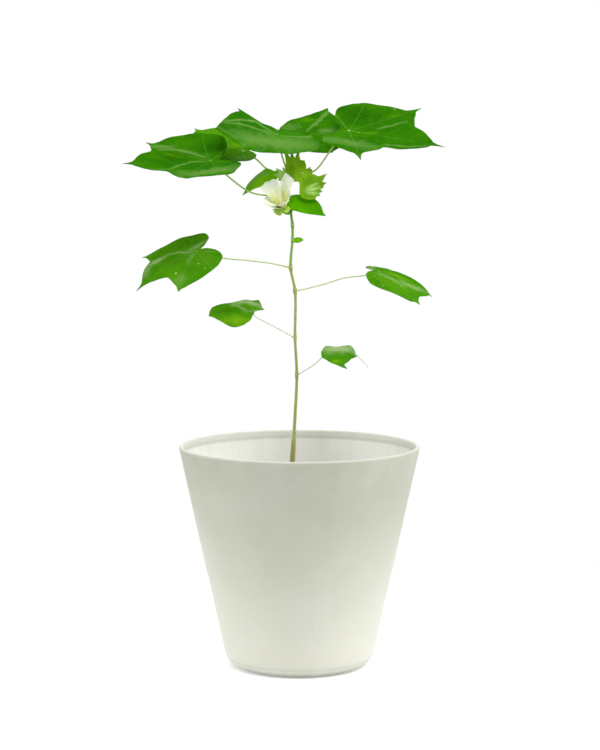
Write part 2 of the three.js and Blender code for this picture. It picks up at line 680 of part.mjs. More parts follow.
// The column of stamens: anthers spiral up a slim stalk and end in a short style.
function stamenGeometry() {
  const columnHeight = 15;
  const anthers = 14;
  const goldenTurn = radians(137.5);
  const pieces = [lathe([[0, 0], [1.3, 0], [0.9, columnHeight], [0.7, 20], [0, 20.6]], 8)];
  for (let anther = 0; anther < anthers; anther += 1) {
    const share = anther / (anthers - 1);
    const height = THREE.MathUtils.lerp(4, columnHeight, share);
    const reach = THREE.MathUtils.lerp(1.7, 1.4, share);
    const bead = new THREE.OctahedronGeometry(1.15, 0);
    bead.translate(
      reach * Math.cos(anther * goldenTurn), reach * Math.sin(anther * goldenTurn), height,
    );
    pieces.push(bead);
  }
  const lift = 2 * GAP + CALYX_HEIGHT + 3.6 + GAP;
  return fuse(pieces).applyMatrix4(axisMatrix(FLOWER_BASE, FLOWER_AXIS, lift));
}

// A bract is a small cupped leaf with a fringe of long teeth along its outer edge.
function bractEdge(length, width, teeth, toothLength) {
  const edge = [[180, 2.2, 0], [110, width * 0.2, 0], [-110, width * 0.2, 0]];
  const fan = 66;
  for (let tooth = 0; tooth < teeth; tooth += 1) {
    const share = teeth === 1 ? 0 : (2 * tooth) / (teeth - 1) - 1;
    const angle = share * fan;
    const reach = THREE.MathUtils.lerp(length, width * 0.62, Math.abs(share) ** 1.3);
    edge.push([angle, reach + toothLength * (1 - 0.5 * Math.abs(share)), 0]);
    if (tooth < teeth - 1) edge.push([angle + fan / (teeth - 1), reach * 0.86, 0]);
  }
  return edge;
}

function bractSolid(bract) {
  const { length, width, teeth, toothLength } = bract;
  const leaf = { ...bract, edge: bractEdge(length, width, teeth, toothLength) };
  return bladeSolid(leaf, 2, 24);
}

// Three small bracts round the calyx of the open flower, placed from the flower's base.
const FLOWER_BRACTS = [
  { offset: [-3, -2.5, -1], heading: 215, rise: -8, roll: -30 },
  { offset: [3.5, -2.5, -0.7], heading: -35, rise: -8, roll: 25 },
  { offset: [-0.5, 2.5, 2], heading: 100, rise: 30, roll: 0 },
].map(({ offset, ...turn }) => ({
  ...turn,
  joint: FLOWER_BASE.map((value, axis) => value + offset[axis]),
  length: 9,
  width: 11,
  teeth: 5,
  toothLength: 3,
  droop: -0.25,
}));

function flowerBractsGeometry() {
  const calyx = lathe(
    [[0, 0], [2.6, 0], [CALYX_RADIUS, 1.4], [CALYX_RADIUS, CALYX_HEIGHT], [0, CALYX_HEIGHT]], 14,
  );
  calyx.applyMatrix4(axisMatrix(FLOWER_BASE, FLOWER_AXIS, GAP));
  const whole = fuse([calyx, ...FLOWER_BRACTS.map(bractSolid)]);
  return cut(cut(whole, branchesGeometry(GAP)), shootGeometry(GAP));
}

// Three larger bracts hold the closed bud.
const BUD_BRACTS = [
  {
    joint: [2, -11.4, 566.5], heading: 97, rise: 80, roll: -8, length: 26, width: 21, teeth: 5,
    toothLength: 3, droop: -0.12,
  },
  {
    joint: [8, -8.5, 565], heading: -22, rise: -22, roll: 62, length: 24, width: 30, teeth: 5,
    toothLength: 5, droop: 0.1,
  },
  {
    joint: [4, -2.5, 566], heading: 40, rise: 62, roll: 10, length: 20, width: 18, teeth: 5,
    toothLength: 4, droop: -0.1,
  },
];

function budBractsGeometry() {
  const calyx = lathe([[0, 0], [2.2, 0], [4.8, 1.2], [4.8, 2.4], [0, 2.4]], 12);
  calyx.applyMatrix4(axisMatrix(BUD_BASE, BUD_AXIS, GAP));
  const whole = fuse([calyx, ...BUD_BRACTS.map(bractSolid)]);
  return cut(whole, branchesGeometry(GAP));
}

function budGeometry() {
  const bud = lathe([[0, 0], [1.8, 0.5], [2.5, 2.5], [2.3, 5], [1.4, 7.5], [0, 9]], 10);
  bud.applyMatrix4(axisMatrix(BUD_BASE, BUD_AXIS, 2 * GAP + 2.4));
  return bud;
}

// ---------------------------------------------------------------- the plant

function material(colour, roughness) {
  return new THREE.MeshStandardMaterial({ color: colour, roughness, metalness: 0 });
}

const potted = new THREE.Group();

function addPiece(name, geometry, colour, roughness) {
  const mesh = new THREE.Mesh(closedBody(geometry), material(colour, roughness));
  mesh.name = name;
  potted.add(mesh);
}

addPiece('pot', potGeometry(), COLOURS.pot, 0.55);
addPiece('soil', soilGeometry(), COLOURS.soil, 0.95);
addPiece('stem', stemGeometry(), COLOURS.stem, 0.6);
for (const [name, leaf] of Object.entries(LEAVES)) {
  const colour = name.startsWith('young') ? COLOURS.paleLeaf : COLOURS.leaf;
  addPiece(name, leafGeometry(leaf), colour, 0.5);
}
addPiece('corolla', corollaGeometry(), COLOURS.petal, 0.6);
addPiece('stamen_column', stamenGeometry(), COLOURS.pollen, 0.7);
addPiece('flower_bracts', flowerBractsGeometry(), COLOURS.bract, 0.55);
addPiece('bud_bracts', budBractsGeometry(), COLOURS.bract, 0.55);
addPiece('bud', budGeometry(), COLOURS.paleLeaf, 0.55);

export default potted;
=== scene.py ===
# %% [markdown]
# # A potted cotton plant
#
# This notebook dresses a finished solid model of a young cotton plant in flower. The solids give the
# sizes and places, and every cell below turns one of them into a piece that looks grown, moulded or
# crumbled. We work in metres, in the same frame as the solids: the pot stands on the floor at the
# origin, +Z is up, and the plant shows its best side towards -Y.

# %% Load the solids and keep their box
import math
import random

import bpy
from mathutils import Matrix, Vector, noise


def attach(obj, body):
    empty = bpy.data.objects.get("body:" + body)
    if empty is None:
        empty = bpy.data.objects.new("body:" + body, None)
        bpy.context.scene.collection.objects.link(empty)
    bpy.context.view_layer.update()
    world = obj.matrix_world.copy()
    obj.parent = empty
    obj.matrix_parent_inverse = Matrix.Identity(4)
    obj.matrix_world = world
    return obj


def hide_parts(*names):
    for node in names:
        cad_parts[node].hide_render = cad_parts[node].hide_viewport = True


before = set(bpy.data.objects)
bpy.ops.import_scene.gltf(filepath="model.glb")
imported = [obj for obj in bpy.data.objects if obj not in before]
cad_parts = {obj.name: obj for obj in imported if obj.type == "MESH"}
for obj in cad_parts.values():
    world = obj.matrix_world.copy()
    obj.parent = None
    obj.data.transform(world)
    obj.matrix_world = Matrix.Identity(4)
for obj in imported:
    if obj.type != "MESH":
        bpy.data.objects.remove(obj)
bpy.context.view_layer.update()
print("solids to dress:", sorted(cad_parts))

# %% [markdown]
# ## The camera first
#
# A camera placed early lets us look at each piece as soon as it is made. A long lens from two and a
# half metres away keeps the pot's sides straight. It stands a little above the leaves and looks six
# degrees down, so that we see just inside the rim.

# %% Place the camera
CAMERA_PLACE = (0.0007, -2.518, 0.604)
CAMERA_TILT = 5.99
CAMERA_LENS = 105.0
SENSOR_WIDTH = 36.0

bpy.ops.object.select_all(action="DESELECT")
bpy.ops.object.camera_add(location=CAMERA_PLACE)
camera = bpy.context.object
camera.name = "main_camera"
camera.rotation_euler = (math.radians(90.0 - CAMERA_TILT), 0.0, 0.0)
camera.data.lens = CAMERA_LENS
camera.data.sensor_width = SENSOR_WIDTH
camera.data.dof.use_dof = False
bpy.context.scene.camera = camera
print("camera at", tuple(camera.location))

# %% [markdown]
# ## A few hand tools
#
# The same small moves come back for every piece: pick one object and nothing else, step in and out of
# edit mode, join or copy parts, and at the end tie the piece to the solid that it stands for. Writing
# them once keeps the later cells short. A finished piece keeps its place in its mesh, so its object
# sits at the origin.

# %% Pick, edit, join, copy and tie
MM = 0.001


def pick(*parts):
    """Selects the given objects and nothing else, and makes the first one active."""
    bpy.ops.object.select_all(action="DESELECT")
    for part in parts:
        part.select_set(True)
    bpy.context.view_layer.objects.active = parts[0]


def edit_all(part):
    """Enters edit mode on one object with everything in it selected."""
    pick(part)
    bpy.ops.object.mode_set(mode="EDIT")
    bpy.ops.mesh.select_all(action="SELECT")


def leave_edit():
    bpy.ops.object.mode_set(mode="OBJECT")


def joined(parts):
    """Joins the parts into the first one and returns it."""
    pick(*parts)
    if len(parts) > 1:
        bpy.ops.object.join()
    return bpy.context.view_layer.objects.active


def copied(model):
    """A copy of a part with a mesh of its own."""
    copy = model.copy()
    copy.data = model.data.copy()
    bpy.context.scene.collection.objects.link(copy)
    return copy


def apply_modifier(part, kind, **settings):
    """Adds one modifier, sets it up and applies it at once."""
    pick(part)
    modifier = part.modifiers.new(kind.lower(), kind)
    for setting, value in settings.items():
        setattr(modifier, setting, value)
    bpy.ops.object.modifier_apply(modifier=modifier.name)


def smooth(part, angle):
    """Shades a part smoothly, except across edges that bend by more than the angle in degrees."""
    pick(part)
    bpy.ops.object.shade_smooth_by_angle(angle=math.radians(angle))


def tie(part, name, slot, *nodes):
    """Names a finished piece, ties it to the plant and lets it stand for its solids."""
    pick(part)
    bpy.ops.object.transform_apply(location=True, rotation=True, scale=True)
    part.name = name
    part.data.name = name + "_mesh"
    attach(part, "root")
    if nodes:
        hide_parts(*nodes)
    low, high = Vector(part.bound_box[0]), Vector(part.bound_box[6])
    size = [round(side / MM) for side in high - low]
    print(name, "faces", len(part.data.polygons), "size in mm", size)


# %% [markdown]
# ## Writing a finish as sums
#
# Every finish is a network of shader nodes. Wiring nodes by hand is slow to read, so one small class
# wraps a socket and lets us write `1 - mask` or `height * 0.3`.

# %% Shader sums
class Tone:
    """The outgoing value of a node, usable in sums."""

    def __init__(self, finish, socket):
        self.finish = finish
        self.socket = socket

    def maths(self, operation, first, second=0.0):
        return self.finish.node("ShaderNodeMath", {"operation": operation}, {0: first, 1: second})

    def __add__(self, other):
        return self.maths("ADD", self, other)

    def __radd__(self, other):
        return self.maths("ADD", other, self)

    def __sub__(self, other):
        return self.maths("SUBTRACT", self, other)

    def __rsub__(self, other):
        return self.maths("SUBTRACT", other, self)

    def __mul__(self, other):
        return self.maths("MULTIPLY", self, other)

    def __rmul__(self, other):
        return self.maths("MULTIPLY", other, self)

    def __truediv__(self, other):
        return self.maths("DIVIDE", self, other)

    def __rtruediv__(self, other):
        return self.maths("DIVIDE", other, self)

    def __pow__(self, other):
        return self.maths("POWER", self, other)

    def __mod__(self, other):
        return self.maths("FLOORED_MODULO", self, other)

    def __abs__(self):
        return self.maths("ABSOLUTE", self)

    def least(self, other):
        return self.maths("MINIMUM", self, other)

    def most(self, other):
        return self.maths("MAXIMUM", self, other)

    def sine(self):
        return self.maths("SINE", self)

    def cosine(self):
        return self.maths("COSINE", self)

    def sign(self):
        return self.maths("SIGN", self)


# %% [markdown]
# A second class holds one finish while it is mixed. Its method `node` adds any node: it takes the
# node's type, its settings, and the values or links of its sockets. The other methods name the few
# nodes that come back in every finish, so that a finish reads as a list of layers.

# %% A finish and its usual nodes
class Finish:
    """One material under way, with a method that adds any node and a few that name usual ones."""

    def __init__(self, name, **constants):
        self.material = bpy.data.materials.new(name)
        self.material.use_nodes = True
        self.tree = self.material.node_tree
        self.surface = self.tree.nodes["Principled BSDF"]
        for socket, value in constants.items():
            self.surface.inputs[socket.replace("_", " ")].default_value = value

    def node(self, kind, settings=None, feeds=None, output=0):
        """Adds a node: its settings first, then the values or links of its sockets."""
        node = self.tree.nodes.new(kind)
        for setting, value in (settings or {}).items():
            setattr(node, setting, value)
        for socket, value in (feeds or {}).items():
            self.feed(node.inputs[socket], value)
        return Tone(self, node.outputs[output])

    def feed(self, socket, value):
        """Links a socket to a tone, or sets it to a colour or a number."""
        if isinstance(value, Tone):
            self.tree.links.new(value.socket, socket)
        elif isinstance(value, tuple) and socket.type == "RGBA":
            socket.default_value = (*value, 1.0)
        else:
            socket.default_value = value

    def place(self):
        """Where a point is on the object, in metres."""
        return self.node("ShaderNodeTexCoord", output="Object")

    def split(self, vector):
        """The three parts of a vector or a colour."""
        first = self.node("ShaderNodeSeparateXYZ", feeds={"Vector": vector})
        return [Tone(self, socket) for socket in first.socket.node.outputs]

    def stretch(self, vector, scale):
        """Scales a vector by its own amount each way, for patterns that are longer one way."""
        return self.node("ShaderNodeVectorMath", {"operation": "MULTIPLY"}, {0: vector, 1: scale})

    def cloud(self, vector, scale, detail, roughness):
        """Soft noise from 0 to 1."""
        feeds = {"Vector": vector, "Scale": scale, "Detail": detail, "Roughness": roughness}
        return self.node("ShaderNodeTexNoise", feeds=feeds)

    def cells(self, vector, scale, feature="F1", output="Distance"):
        """A pattern of small cells, by default the distance from the nearest cell's middle."""
        feeds = {"Vector": vector, "Scale": scale}
        return self.node("ShaderNodeTexVoronoi", {"feature": feature}, feeds, output)

    def ramp(self, value, start, end):
        """Eases from 0 to 1 while the value goes from start to end."""
        settings = {"interpolation_type": "SMOOTHSTEP"}
        return self.node("ShaderNodeMapRange", settings, {0: value, 1: start, 2: end})

    def dots(self, vector, scale, full, gone):
        """1 in small round dots, which are full and gone at these distances from their middles."""
        return 1.0 - self.ramp(self.cells(vector, scale), full, gone)

    def blend(self, share, first, second):
        """Goes from the first colour to the second as the share goes from 0 to 1."""
        feeds = {0: share, 6: first, 7: second}
        return self.node("ShaderNodeMix", {"data_type": "RGBA"}, feeds, output=2)

    def colour(self, colour):
        self.feed(self.surface.inputs["Base Color"], colour)

    def roughness(self, value):
        self.feed(self.surface.inputs["Roughness"], value)

    def relief(self, height, depth, strength):
        """Raises the surface by a height from 0 to 1, depth metres in all."""
        feeds = {"Height": height, "Distance": depth, "Strength": strength}
        self.feed(self.surface.inputs["Normal"], self.node("ShaderNodeBump", feeds=feeds))


# %% [markdown]
# ## The pot
#
# The real pot is one moulding of off-white plastic: a tapered wall, a rolled foot, a thin rounded rim
# and a slightly thicker band inside it. A spun profile would do, but raising it ring by ring is how
# one would build it by hand, and it leaves no doubled vertices: a circle is extruded and scaled again
# and again, down the outside's profile and back up the inside's.

# %% A form raised ring by ring
def raised_form(profile, sides):
    """Extrudes and scales a circle through (radius, height) pairs in mm, and closes both ends."""
    radius, height = profile[0]
    bpy.ops.object.select_all(action="DESELECT")
    bpy.ops.mesh.primitive_circle_add(
        vertices=sides, radius=radius * MM, location=(0.0, 0.0, height * MM), fill_type="NOTHING",
    )
    form = bpy.context.object
    edit_all(form)
    bpy.ops.mesh.edge_face_add()
    for next_radius, next_height in profile[1:]:
        step = (0.0, 0.0, (next_height - height) * MM)
        bpy.ops.mesh.extrude_edges_move(TRANSFORM_OT_translate={"value": step})
        growth = next_radius / radius
        centre = (0.0, 0.0, next_height * MM)
        bpy.ops.transform.resize(value=(growth, growth, 1.0), center_override=centre)
        radius, height = next_radius, next_height
    bpy.ops.mesh.edge_face_add()
    bpy.ops.mesh.select_all(action="SELECT")
    bpy.ops.mesh.normals_make_consistent(inside=False)
    leave_edit()
    return form


# %% The pot's profile
RIM_RADIUS = 140.0
POT_HEIGHT = 258.0
BASE_LINE_RADIUS = 84.0
FOOT_ROUNDING = 22.0
WALL = 3.2
RIM_WALL = 4.8
RIM_BAND = 6.5
POT_FLOOR = 5.0
POLE_RADIUS = 1.0
POT_SIDES = 160
WALL_SLOPE = math.atan((RIM_RADIUS - BASE_LINE_RADIUS) / POT_HEIGHT)


def wall_radius(height):
    return BASE_LINE_RADIUS + (RIM_RADIUS - BASE_LINE_RADIUS) * height / POT_HEIGHT


def foot_arc(wall_line, lift, rounding, steps):
    """The rolled foot, from the level floor round to the slanted wall."""
    wall_at_lift = wall_line + math.tan(WALL_SLOPE) * lift
    centre = wall_at_lift - rounding / math.cos(WALL_SLOPE) + rounding * math.tan(WALL_SLOPE)
    arc = []
    for step in range(steps + 1):
        angle = -math.pi / 2 + (math.pi / 2 - WALL_SLOPE) * step / steps
        rise = lift + rounding + rounding * math.sin(angle)
        arc.append((centre + rounding * math.cos(angle), rise))
    return arc


def straight(start, end, steps):
    """Evenly spaced pairs after start, up to and including end."""
    pairs = []
    for step in range(1, steps + 1):
        share = step / steps
        pairs.append(tuple(a + (b - a) * share for a, b in zip(start, end)))
    return pairs


def pot_profile():
    edge = RIM_WALL / 2
    rim_centre = POT_HEIGHT - edge
    middle = wall_radius(rim_centre) - edge
    outside = foot_arc(BASE_LINE_RADIUS, 0.0, FOOT_ROUNDING, 10)
    rim = []
    for step in range(13):
        angle = math.pi * step / 12
        rim.append((middle + edge * math.cos(angle), rim_centre + edge * math.sin(angle)))
    band_foot = POT_HEIGHT - RIM_BAND
    # The band thins out over a few millimetres, so that its lower edge throws no hard shadow.
    band = [
        (wall_radius(band_foot + 0.4) - RIM_WALL, band_foot + 0.4),
        (wall_radius(band_foot - 0.6) - RIM_WALL + 0.15, band_foot - 0.6),
        (wall_radius(band_foot - 3.4) - WALL - 0.35, band_foot - 3.4),
        (wall_radius(band_foot - 4.8) - WALL, band_foot - 4.8),
    ]
    inside = foot_arc(BASE_LINE_RADIUS - WALL, POT_FLOOR, FOOT_ROUNDING - WALL, 8)
    inside.reverse()
    profile = [(POLE_RADIUS, 0.0)] + straight((POLE_RADIUS, 0.0), outside[0], 6)
    profile += outside[1:] + straight(outside[-1], rim[0], 16)
    profile += rim[1:] + band + straight(band[-1], inside[0], 14) + inside[1:]
    profile += straight(inside[-1], (POLE_RADIUS, POT_FLOOR), 6)
    return profile


pot = raised_form(pot_profile(), POT_SIDES)
print("pot rings", len(pot_profile()), "faces", len(pot.data.polygons))

# %% [markdown]
# Four drain holes go through the floor. A boolean cut with four plain rods is how one would drill
# them, and the sharp edges that it leaves are right for drilled plastic.

# %% Drill the drain holes
DRAIN_RADIUS = 5.0
DRAIN_CIRCLE = 48.0
DRAIN_COUNT = 4

drills = []
for hole in range(DRAIN_COUNT):
    angle = 2 * math.pi * (hole + 0.5) / DRAIN_COUNT
    spot = (DRAIN_CIRCLE * MM * math.cos(angle), DRAIN_CIRCLE * MM * math.sin(angle), 0.0)
    bpy.ops.mesh.primitive_cylinder_add(
        vertices=24, radius=DRAIN_RADIUS * MM, depth=4 * POT_FLOOR * MM, location=spot,
    )
    drills.append(bpy.context.object)
drill = joined(drills)
apply_modifier(pot, "BOOLEAN", operation="DIFFERENCE", object=drill, solver="EXACT")
bpy.data.objects.remove(drill)
smooth(pot, 35.0)
print("pot after drilling", len(pot.data.polygons))

# %% [markdown]
# ### The pot's finish
#
# Matt moulded plastic is never one colour: it has wide pale clouds from the moulding, dust that has
# dried in drips, grime near the floor, a few darker marks under the rim and a few scuffs. Light and
# shade are painted in too: painted shade darkens the outer wall towards the rim and where the foot
# rolls under, painted light makes the inside much paler than the outside, and a painted highlight
# runs along the rim's top. Each of these is one mask, made from height or from noise on the object's
# own coordinates, and they are laid over one another from the widest to the finest. A very fine grain
# in the relief keeps the sheen soft.

# %% Mix the pot's plastic
WALL_LOW = (0.565, 0.57, 0.492)
WALL_TOP_PAINTED_SHADE = (0.448, 0.463, 0.375)
MOULDING_CLOUDS = (0.66, 0.66, 0.60)
INSIDE_WALL_PAINTED_LIGHT = (0.90, 0.905, 0.84)
DRIED_DUST = (0.60, 0.63, 0.53)
FOOT_GRIME = (0.52, 0.50, 0.41)
ROLLED_FOOT_SHADE = (0.36, 0.365, 0.30)
RIM_MARKS = (0.42, 0.44, 0.36)
SCUFF_MARKS = (0.42, 0.43, 0.36)
RIM_HIGHLIGHT = (0.56, 0.57, 0.49)


def pot_plastic():
    plastic = Finish("pot_plastic", Specular_IOR_Level=0.35)
    place = plastic.place()
    x, y, z = plastic.split(place)
    clouds = plastic.cloud(place, 9.0, 4.0, 0.55)
    outward = (x * x + y * y) ** 0.5
    wall_line = z * ((RIM_RADIUS - BASE_LINE_RADIUS) / POT_HEIGHT) + BASE_LINE_RADIUS * MM
    inside = 1.0 - plastic.ramp(outward - wall_line, -0.0028, -0.0012)
    # Painted shade: the outer wall's colour darkens from the foot up towards the rim.
    height = plastic.ramp(z + clouds * 0.04, 0.03, 0.27)
    tint = plastic.blend(height, WALL_LOW, WALL_TOP_PAINTED_SHADE)
    tint = plastic.blend(plastic.ramp(clouds, 0.35, 0.75) * 0.3, tint, MOULDING_CLOUDS)
    # Painted light: the inside is painted much paler than the outer wall, and the band just under the
    # rim gets half of that.
    band = plastic.ramp(z, 0.2465, 0.2515)
    tint = plastic.blend(inside * (1.0 - band * 0.5), tint, INSIDE_WALL_PAINTED_LIGHT)
    drips = plastic.cloud(plastic.stretch(place, (60.0, 60.0, 5.0)), 1.0, 3.0, 0.6)
    high = plastic.ramp(z, 0.10, 0.25)
    dust = plastic.ramp(drips, 0.45, 0.75) * high * 0.18
    tint = plastic.blend(dust, tint, DRIED_DUST)
    foot = 1.0 - plastic.ramp(z, 0.0, 0.03)
    grime = foot * plastic.ramp(plastic.cloud(place, 45.0, 4.0, 0.65), 0.4, 0.7) * 0.35
    tint = plastic.blend(grime, tint, FOOT_GRIME)
    # Painted shade where the foot rolls under towards the floor.
    rolled_shade = 1.0 - plastic.ramp(z, 0.004, 0.015)
    tint = plastic.blend(rolled_shade * 0.8, tint, ROLLED_FOOT_SHADE)
    smudges = plastic.cloud(plastic.stretch(place, (30.0, 30.0, 90.0)), 1.0, 3.0, 0.6)
    under_rim = plastic.ramp(z, 0.215, 0.235) * (1.0 - plastic.ramp(z, 0.245, 0.252))
    marks = plastic.ramp(smudges, 0.60, 0.68) * under_rim * (1.0 - inside) * 0.4
    tint = plastic.blend(marks, tint, RIM_MARKS)
    scratch = plastic.cloud(plastic.stretch(place, (220.0, 220.0, 40.0)), 1.0, 2.0, 0.5)
    patches = plastic.cloud(place, 14.0, 1.0, 0.5)
    scuffs = plastic.ramp(scratch, 0.70, 0.76) * plastic.ramp(patches, 0.56, 0.66) * 0.45
    tint = plastic.blend(scuffs, tint, SCUFF_MARKS)
    # Painted highlight along the rim's rounded top.
    rim_highlight = plastic.ramp(z, 0.2545, 0.2572)
    tint = plastic.blend(rim_highlight * 0.35, tint, RIM_HIGHLIGHT)
    plastic.colour(tint)
    plastic.roughness(0.5 + clouds * 0.12 + scuffs * 0.3)
    grain = plastic.cloud(place, 1400.0, 2.0, 0.6)
    plastic.relief(grain + clouds * 0.5, 0.00012, 0.6)
    return plastic.material


pot.data.materials.append(pot_plastic())
tie(pot, "planter", "pot", "pot")

# %% [markdown]
# ## The soil
#
# Potting mix is a heap of small crumbs with bark and a few white grains of perlite. The bed is raised
# ring by ring like the pot, and its top is then pushed up and down with noise. On it lie a few
# hundred loose pieces: two crumbs, a bark chip and a grain are modelled from a low sphere, and copies
# of them are turned, sized and strewn by a seeded random, so that every run gives the same bed.

# %% Raise and roughen the bed
SOIL_LEVEL = 203.0
SOIL_MOUND = 5.0
SOIL_GAP = 0.6
SOIL_CLEAR = 0.3


def soil_height(x, y):
    """Height of the bed in mm: a low mound with clods and crumbs."""
    outward = min(1.0, math.hypot(x, y) / (wall_radius(SOIL_LEVEL) - WALL))
    clods = math.sin(0.21 * x + 1.3) * math.cos(0.17 * y - 0.4) * 1.6
    crumbs = math.sin(0.47 * x + 0.31 * y) * math.cos(0.39 * x - 0.52 * y + 0.8) * 1.1
    return SOIL_LEVEL + SOIL_MOUND * (1.0 - outward * outward) + clods + crumbs


def soil_profile():
    rim = wall_radius(SOIL_LEVEL) - WALL - SOIL_GAP
    lift = POT_FLOOR + SOIL_CLEAR
    foot = foot_arc(BASE_LINE_RADIUS - WALL - SOIL_CLEAR, lift, FOOT_ROUNDING - WALL - SOIL_CLEAR, 5)
    profile = [(POLE_RADIUS, lift)] + foot
    profile += straight(foot[-1], (rim, SOIL_LEVEL), 6)
    profile += straight((rim, SOIL_LEVEL), (POLE_RADIUS, SOIL_LEVEL), 56)
    return profile


bed = raised_form(soil_profile(), POT_SIDES)
for vertex in bed.data.vertices:
    x, y = vertex.co.x / MM, vertex.co.y / MM
    inside = math.hypot(x, y) < wall_radius(SOIL_LEVEL) - WALL - SOIL_GAP - 0.5
    if inside and vertex.co.z > (SOIL_LEVEL - 1.0) * MM:
        fine = noise.noise(Vector((x, y, 3.0)) * 0.35) * 1.3
        finer = noise.noise(Vector((x, y, 9.0)) * 0.9) * 0.6
        vertex.co.z = (soil_height(x, y) + fine + finer) * MM
smooth(bed, 60.0)
print("bed faces", len(bed.data.polygons))

# %% Mix the soil, bark and perlite
SOIL_DARK = (0.035, 0.022, 0.013)
SOIL_LIGHT = (0.115, 0.072, 0.042)
SOIL_CLUMPS = (0.055, 0.036, 0.022)
BARK_DARK = (0.11, 0.055, 0.025)
BARK_LIGHT = (0.26, 0.15, 0.075)
PERLITE_CLEAN = (0.78, 0.77, 0.72)
PERLITE_DUSTY = (0.50, 0.44, 0.35)


def soil_finish():
    soil = Finish("potting_soil", Specular_IOR_Level=0.25)
    place = soil.place()
    grains = soil.cells(place, 420.0, output="Color")
    red = soil.split(grains)[0]
    clumps = soil.cloud(place, 90.0, 5.0, 0.6)
    tint = soil.blend(red, SOIL_DARK, SOIL_LIGHT)
    tint = soil.blend(soil.ramp(clumps, 0.35, 0.65) * 0.6, tint, SOIL_CLUMPS)
    soil.colour(tint)
    soil.roughness(0.86 + red * 0.12)
    soil.relief(soil.cells(place, 420.0) * 0.6 + clumps, 0.0016, 0.8)
    return soil.material


def bark_finish():
    bark = Finish("bark_chips", Specular_IOR_Level=0.25)
    place = bark.place()
    fibre = bark.cloud(bark.stretch(place, (260.0, 1200.0, 1200.0)), 1.0, 4.0, 0.6)
    bark.colour(bark.blend(bark.ramp(fibre, 0.35, 0.65), BARK_DARK, BARK_LIGHT))
    bark.roughness(0.8 + fibre * 0.15)
    bark.relief(fibre, 0.0006, 0.8)
    return bark.material


def perlite_finish():
    perlite = Finish("perlite_grains", Specular_IOR_Level=0.3)
    place = perlite.place()
    pits = perlite.cells(place, 900.0)
    dust = perlite.cloud(place, 300.0, 3.0, 0.6)
    perlite.colour(perlite.blend(perlite.ramp(dust, 0.4, 0.7), PERLITE_CLEAN, PERLITE_DUSTY))
    perlite.roughness(0.75 + dust * 0.2)
    perlite.relief(pits, 0.0004, 0.8)
    return perlite.material


soil_material = soil_finish()
bed.data.materials.append(soil_material)

# %% Model two crumbs, a chip and a grain, and strew their copies
STREWN_MARGIN = 5.0


def lump(radius, squash, roughness, seed, material):
    """A low sphere pushed out of round: the start of every loose crumb."""
    bpy.ops.object.select_all(action="DESELECT")
    bpy.ops.mesh.primitive_ico_sphere_add(subdivisions=2, radius=radius * MM)
    crumb = bpy.context.object
    for vertex in crumb.data.vertices:
        wobble = noise.noise(vertex.co / (radius * MM) * 1.1 + Vector((seed, 0.0, 0.0)))
        vertex.co *= 1.0 + roughness * wobble
        vertex.co = Vector(a * b for a, b in zip(vertex.co, squash))
    crumb.data.materials.append(material)
    return crumb


def strewn(model, count, sizes, seed):
    """Copies a loose piece over the bed, each copy with its own mesh, turn and size."""
    chance = random.Random(seed)
    copies = []
    reach = wall_radius(SOIL_LEVEL) - WALL - STREWN_MARGIN
    for _ in range(count):
        distance = reach * math.sqrt(chance.random())
        heading = chance.uniform(0.0, 2 * math.pi)
        x, y = distance * math.cos(heading), distance * math.sin(heading)
        size = chance.uniform(*sizes)
        copy = copied(model)
        turn = Matrix.Rotation(chance.uniform(0, 6.28), 4, (chance.random(), chance.random(), 1.0))
        spot = Matrix.Translation((x * MM, y * MM, (soil_height(x, y) + 0.5 * size) * MM))
        copy.data.transform(spot @ turn @ Matrix.Scale(size, 4))
        copies.append(copy)
    bpy.data.objects.remove(model)
    return joined(copies)


bark_material = bark_finish()
perlite_material = perlite_finish()
loose = [
    strewn(lump(1.0, (1.0, 0.8, 0.6), 0.5, 1.0, soil_material), 260, (0.9, 2.4), 11),
    strewn(lump(1.0, (1.0, 0.9, 0.8), 0.4, 5.0, soil_material), 200, (0.6, 1.6), 12),
    strewn(lump(1.0, (2.2, 1.0, 0.35), 0.35, 2.0, bark_material), 90, (1.2, 3.2), 13),
    strewn(lump(1.0, (1.0, 0.9, 0.8), 0.45, 3.0, perlite_material), 70, (0.7, 1.6), 14),
]
for heap in loose:
    smooth(heap, 60.0)
bed = joined([bed] + loose)
tie(bed, "soil_bed", "soil", "soil")

# %% [markdown]
# ## Rods that grow
#
# The shoot, the leaf stalks and the ribs under the leaves are all the same thing: a slim round rod
# that bends smoothly and changes its thickness. A curve with a round bevel does this well, because a
# curve keeps its section from twisting. The points between the given ones are worked out so that the
# rod follows the same smooth line as the solid that it stands for, and the curve is then made a mesh.

# %% Rods along a smooth line
THINNEST_ROD = 0.02


def between(before, start, end, after, share):
    """A point of the smooth line from start to end, for a share from 0 to 1."""
    first = (start - before).length ** 0.5
    middle = (end - start).length ** 0.5
    last = (after - end).length ** 0.5
    leave = (start - before) / first - (end - before) / (first + middle) + (end - start) / middle
    arrive = (end - start) / middle - (after - start) / (middle + last) + (after - end) / last
    leave *= middle
    arrive *= middle
    cubic = 2 * start - 2 * end + leave + arrive
    square = 3 * end - 3 * start - 2 * leave - arrive
    return ((cubic * share + square) * share + leave) * share + start


def smooth_line(route, steps):
    """Places in mm along a route of (x, y, z, radius) points, with the radius at each."""
    centres = [Vector(point[:3]) for point in route]
    ends = [2 * centres[0] - centres[1]] + centres + [2 * centres[-1] - centres[-2]]
    line = []
    for span in range(len(route) - 1):
        for step in range(steps):
            share = step / steps
            centre = between(*ends[span:span + 4], share)
            radius = route[span][3] + (route[span + 1][3] - route[span][3]) * share
            line.append((centre, radius))
    line.append((centres[-1], route[-1][3]))
    return line


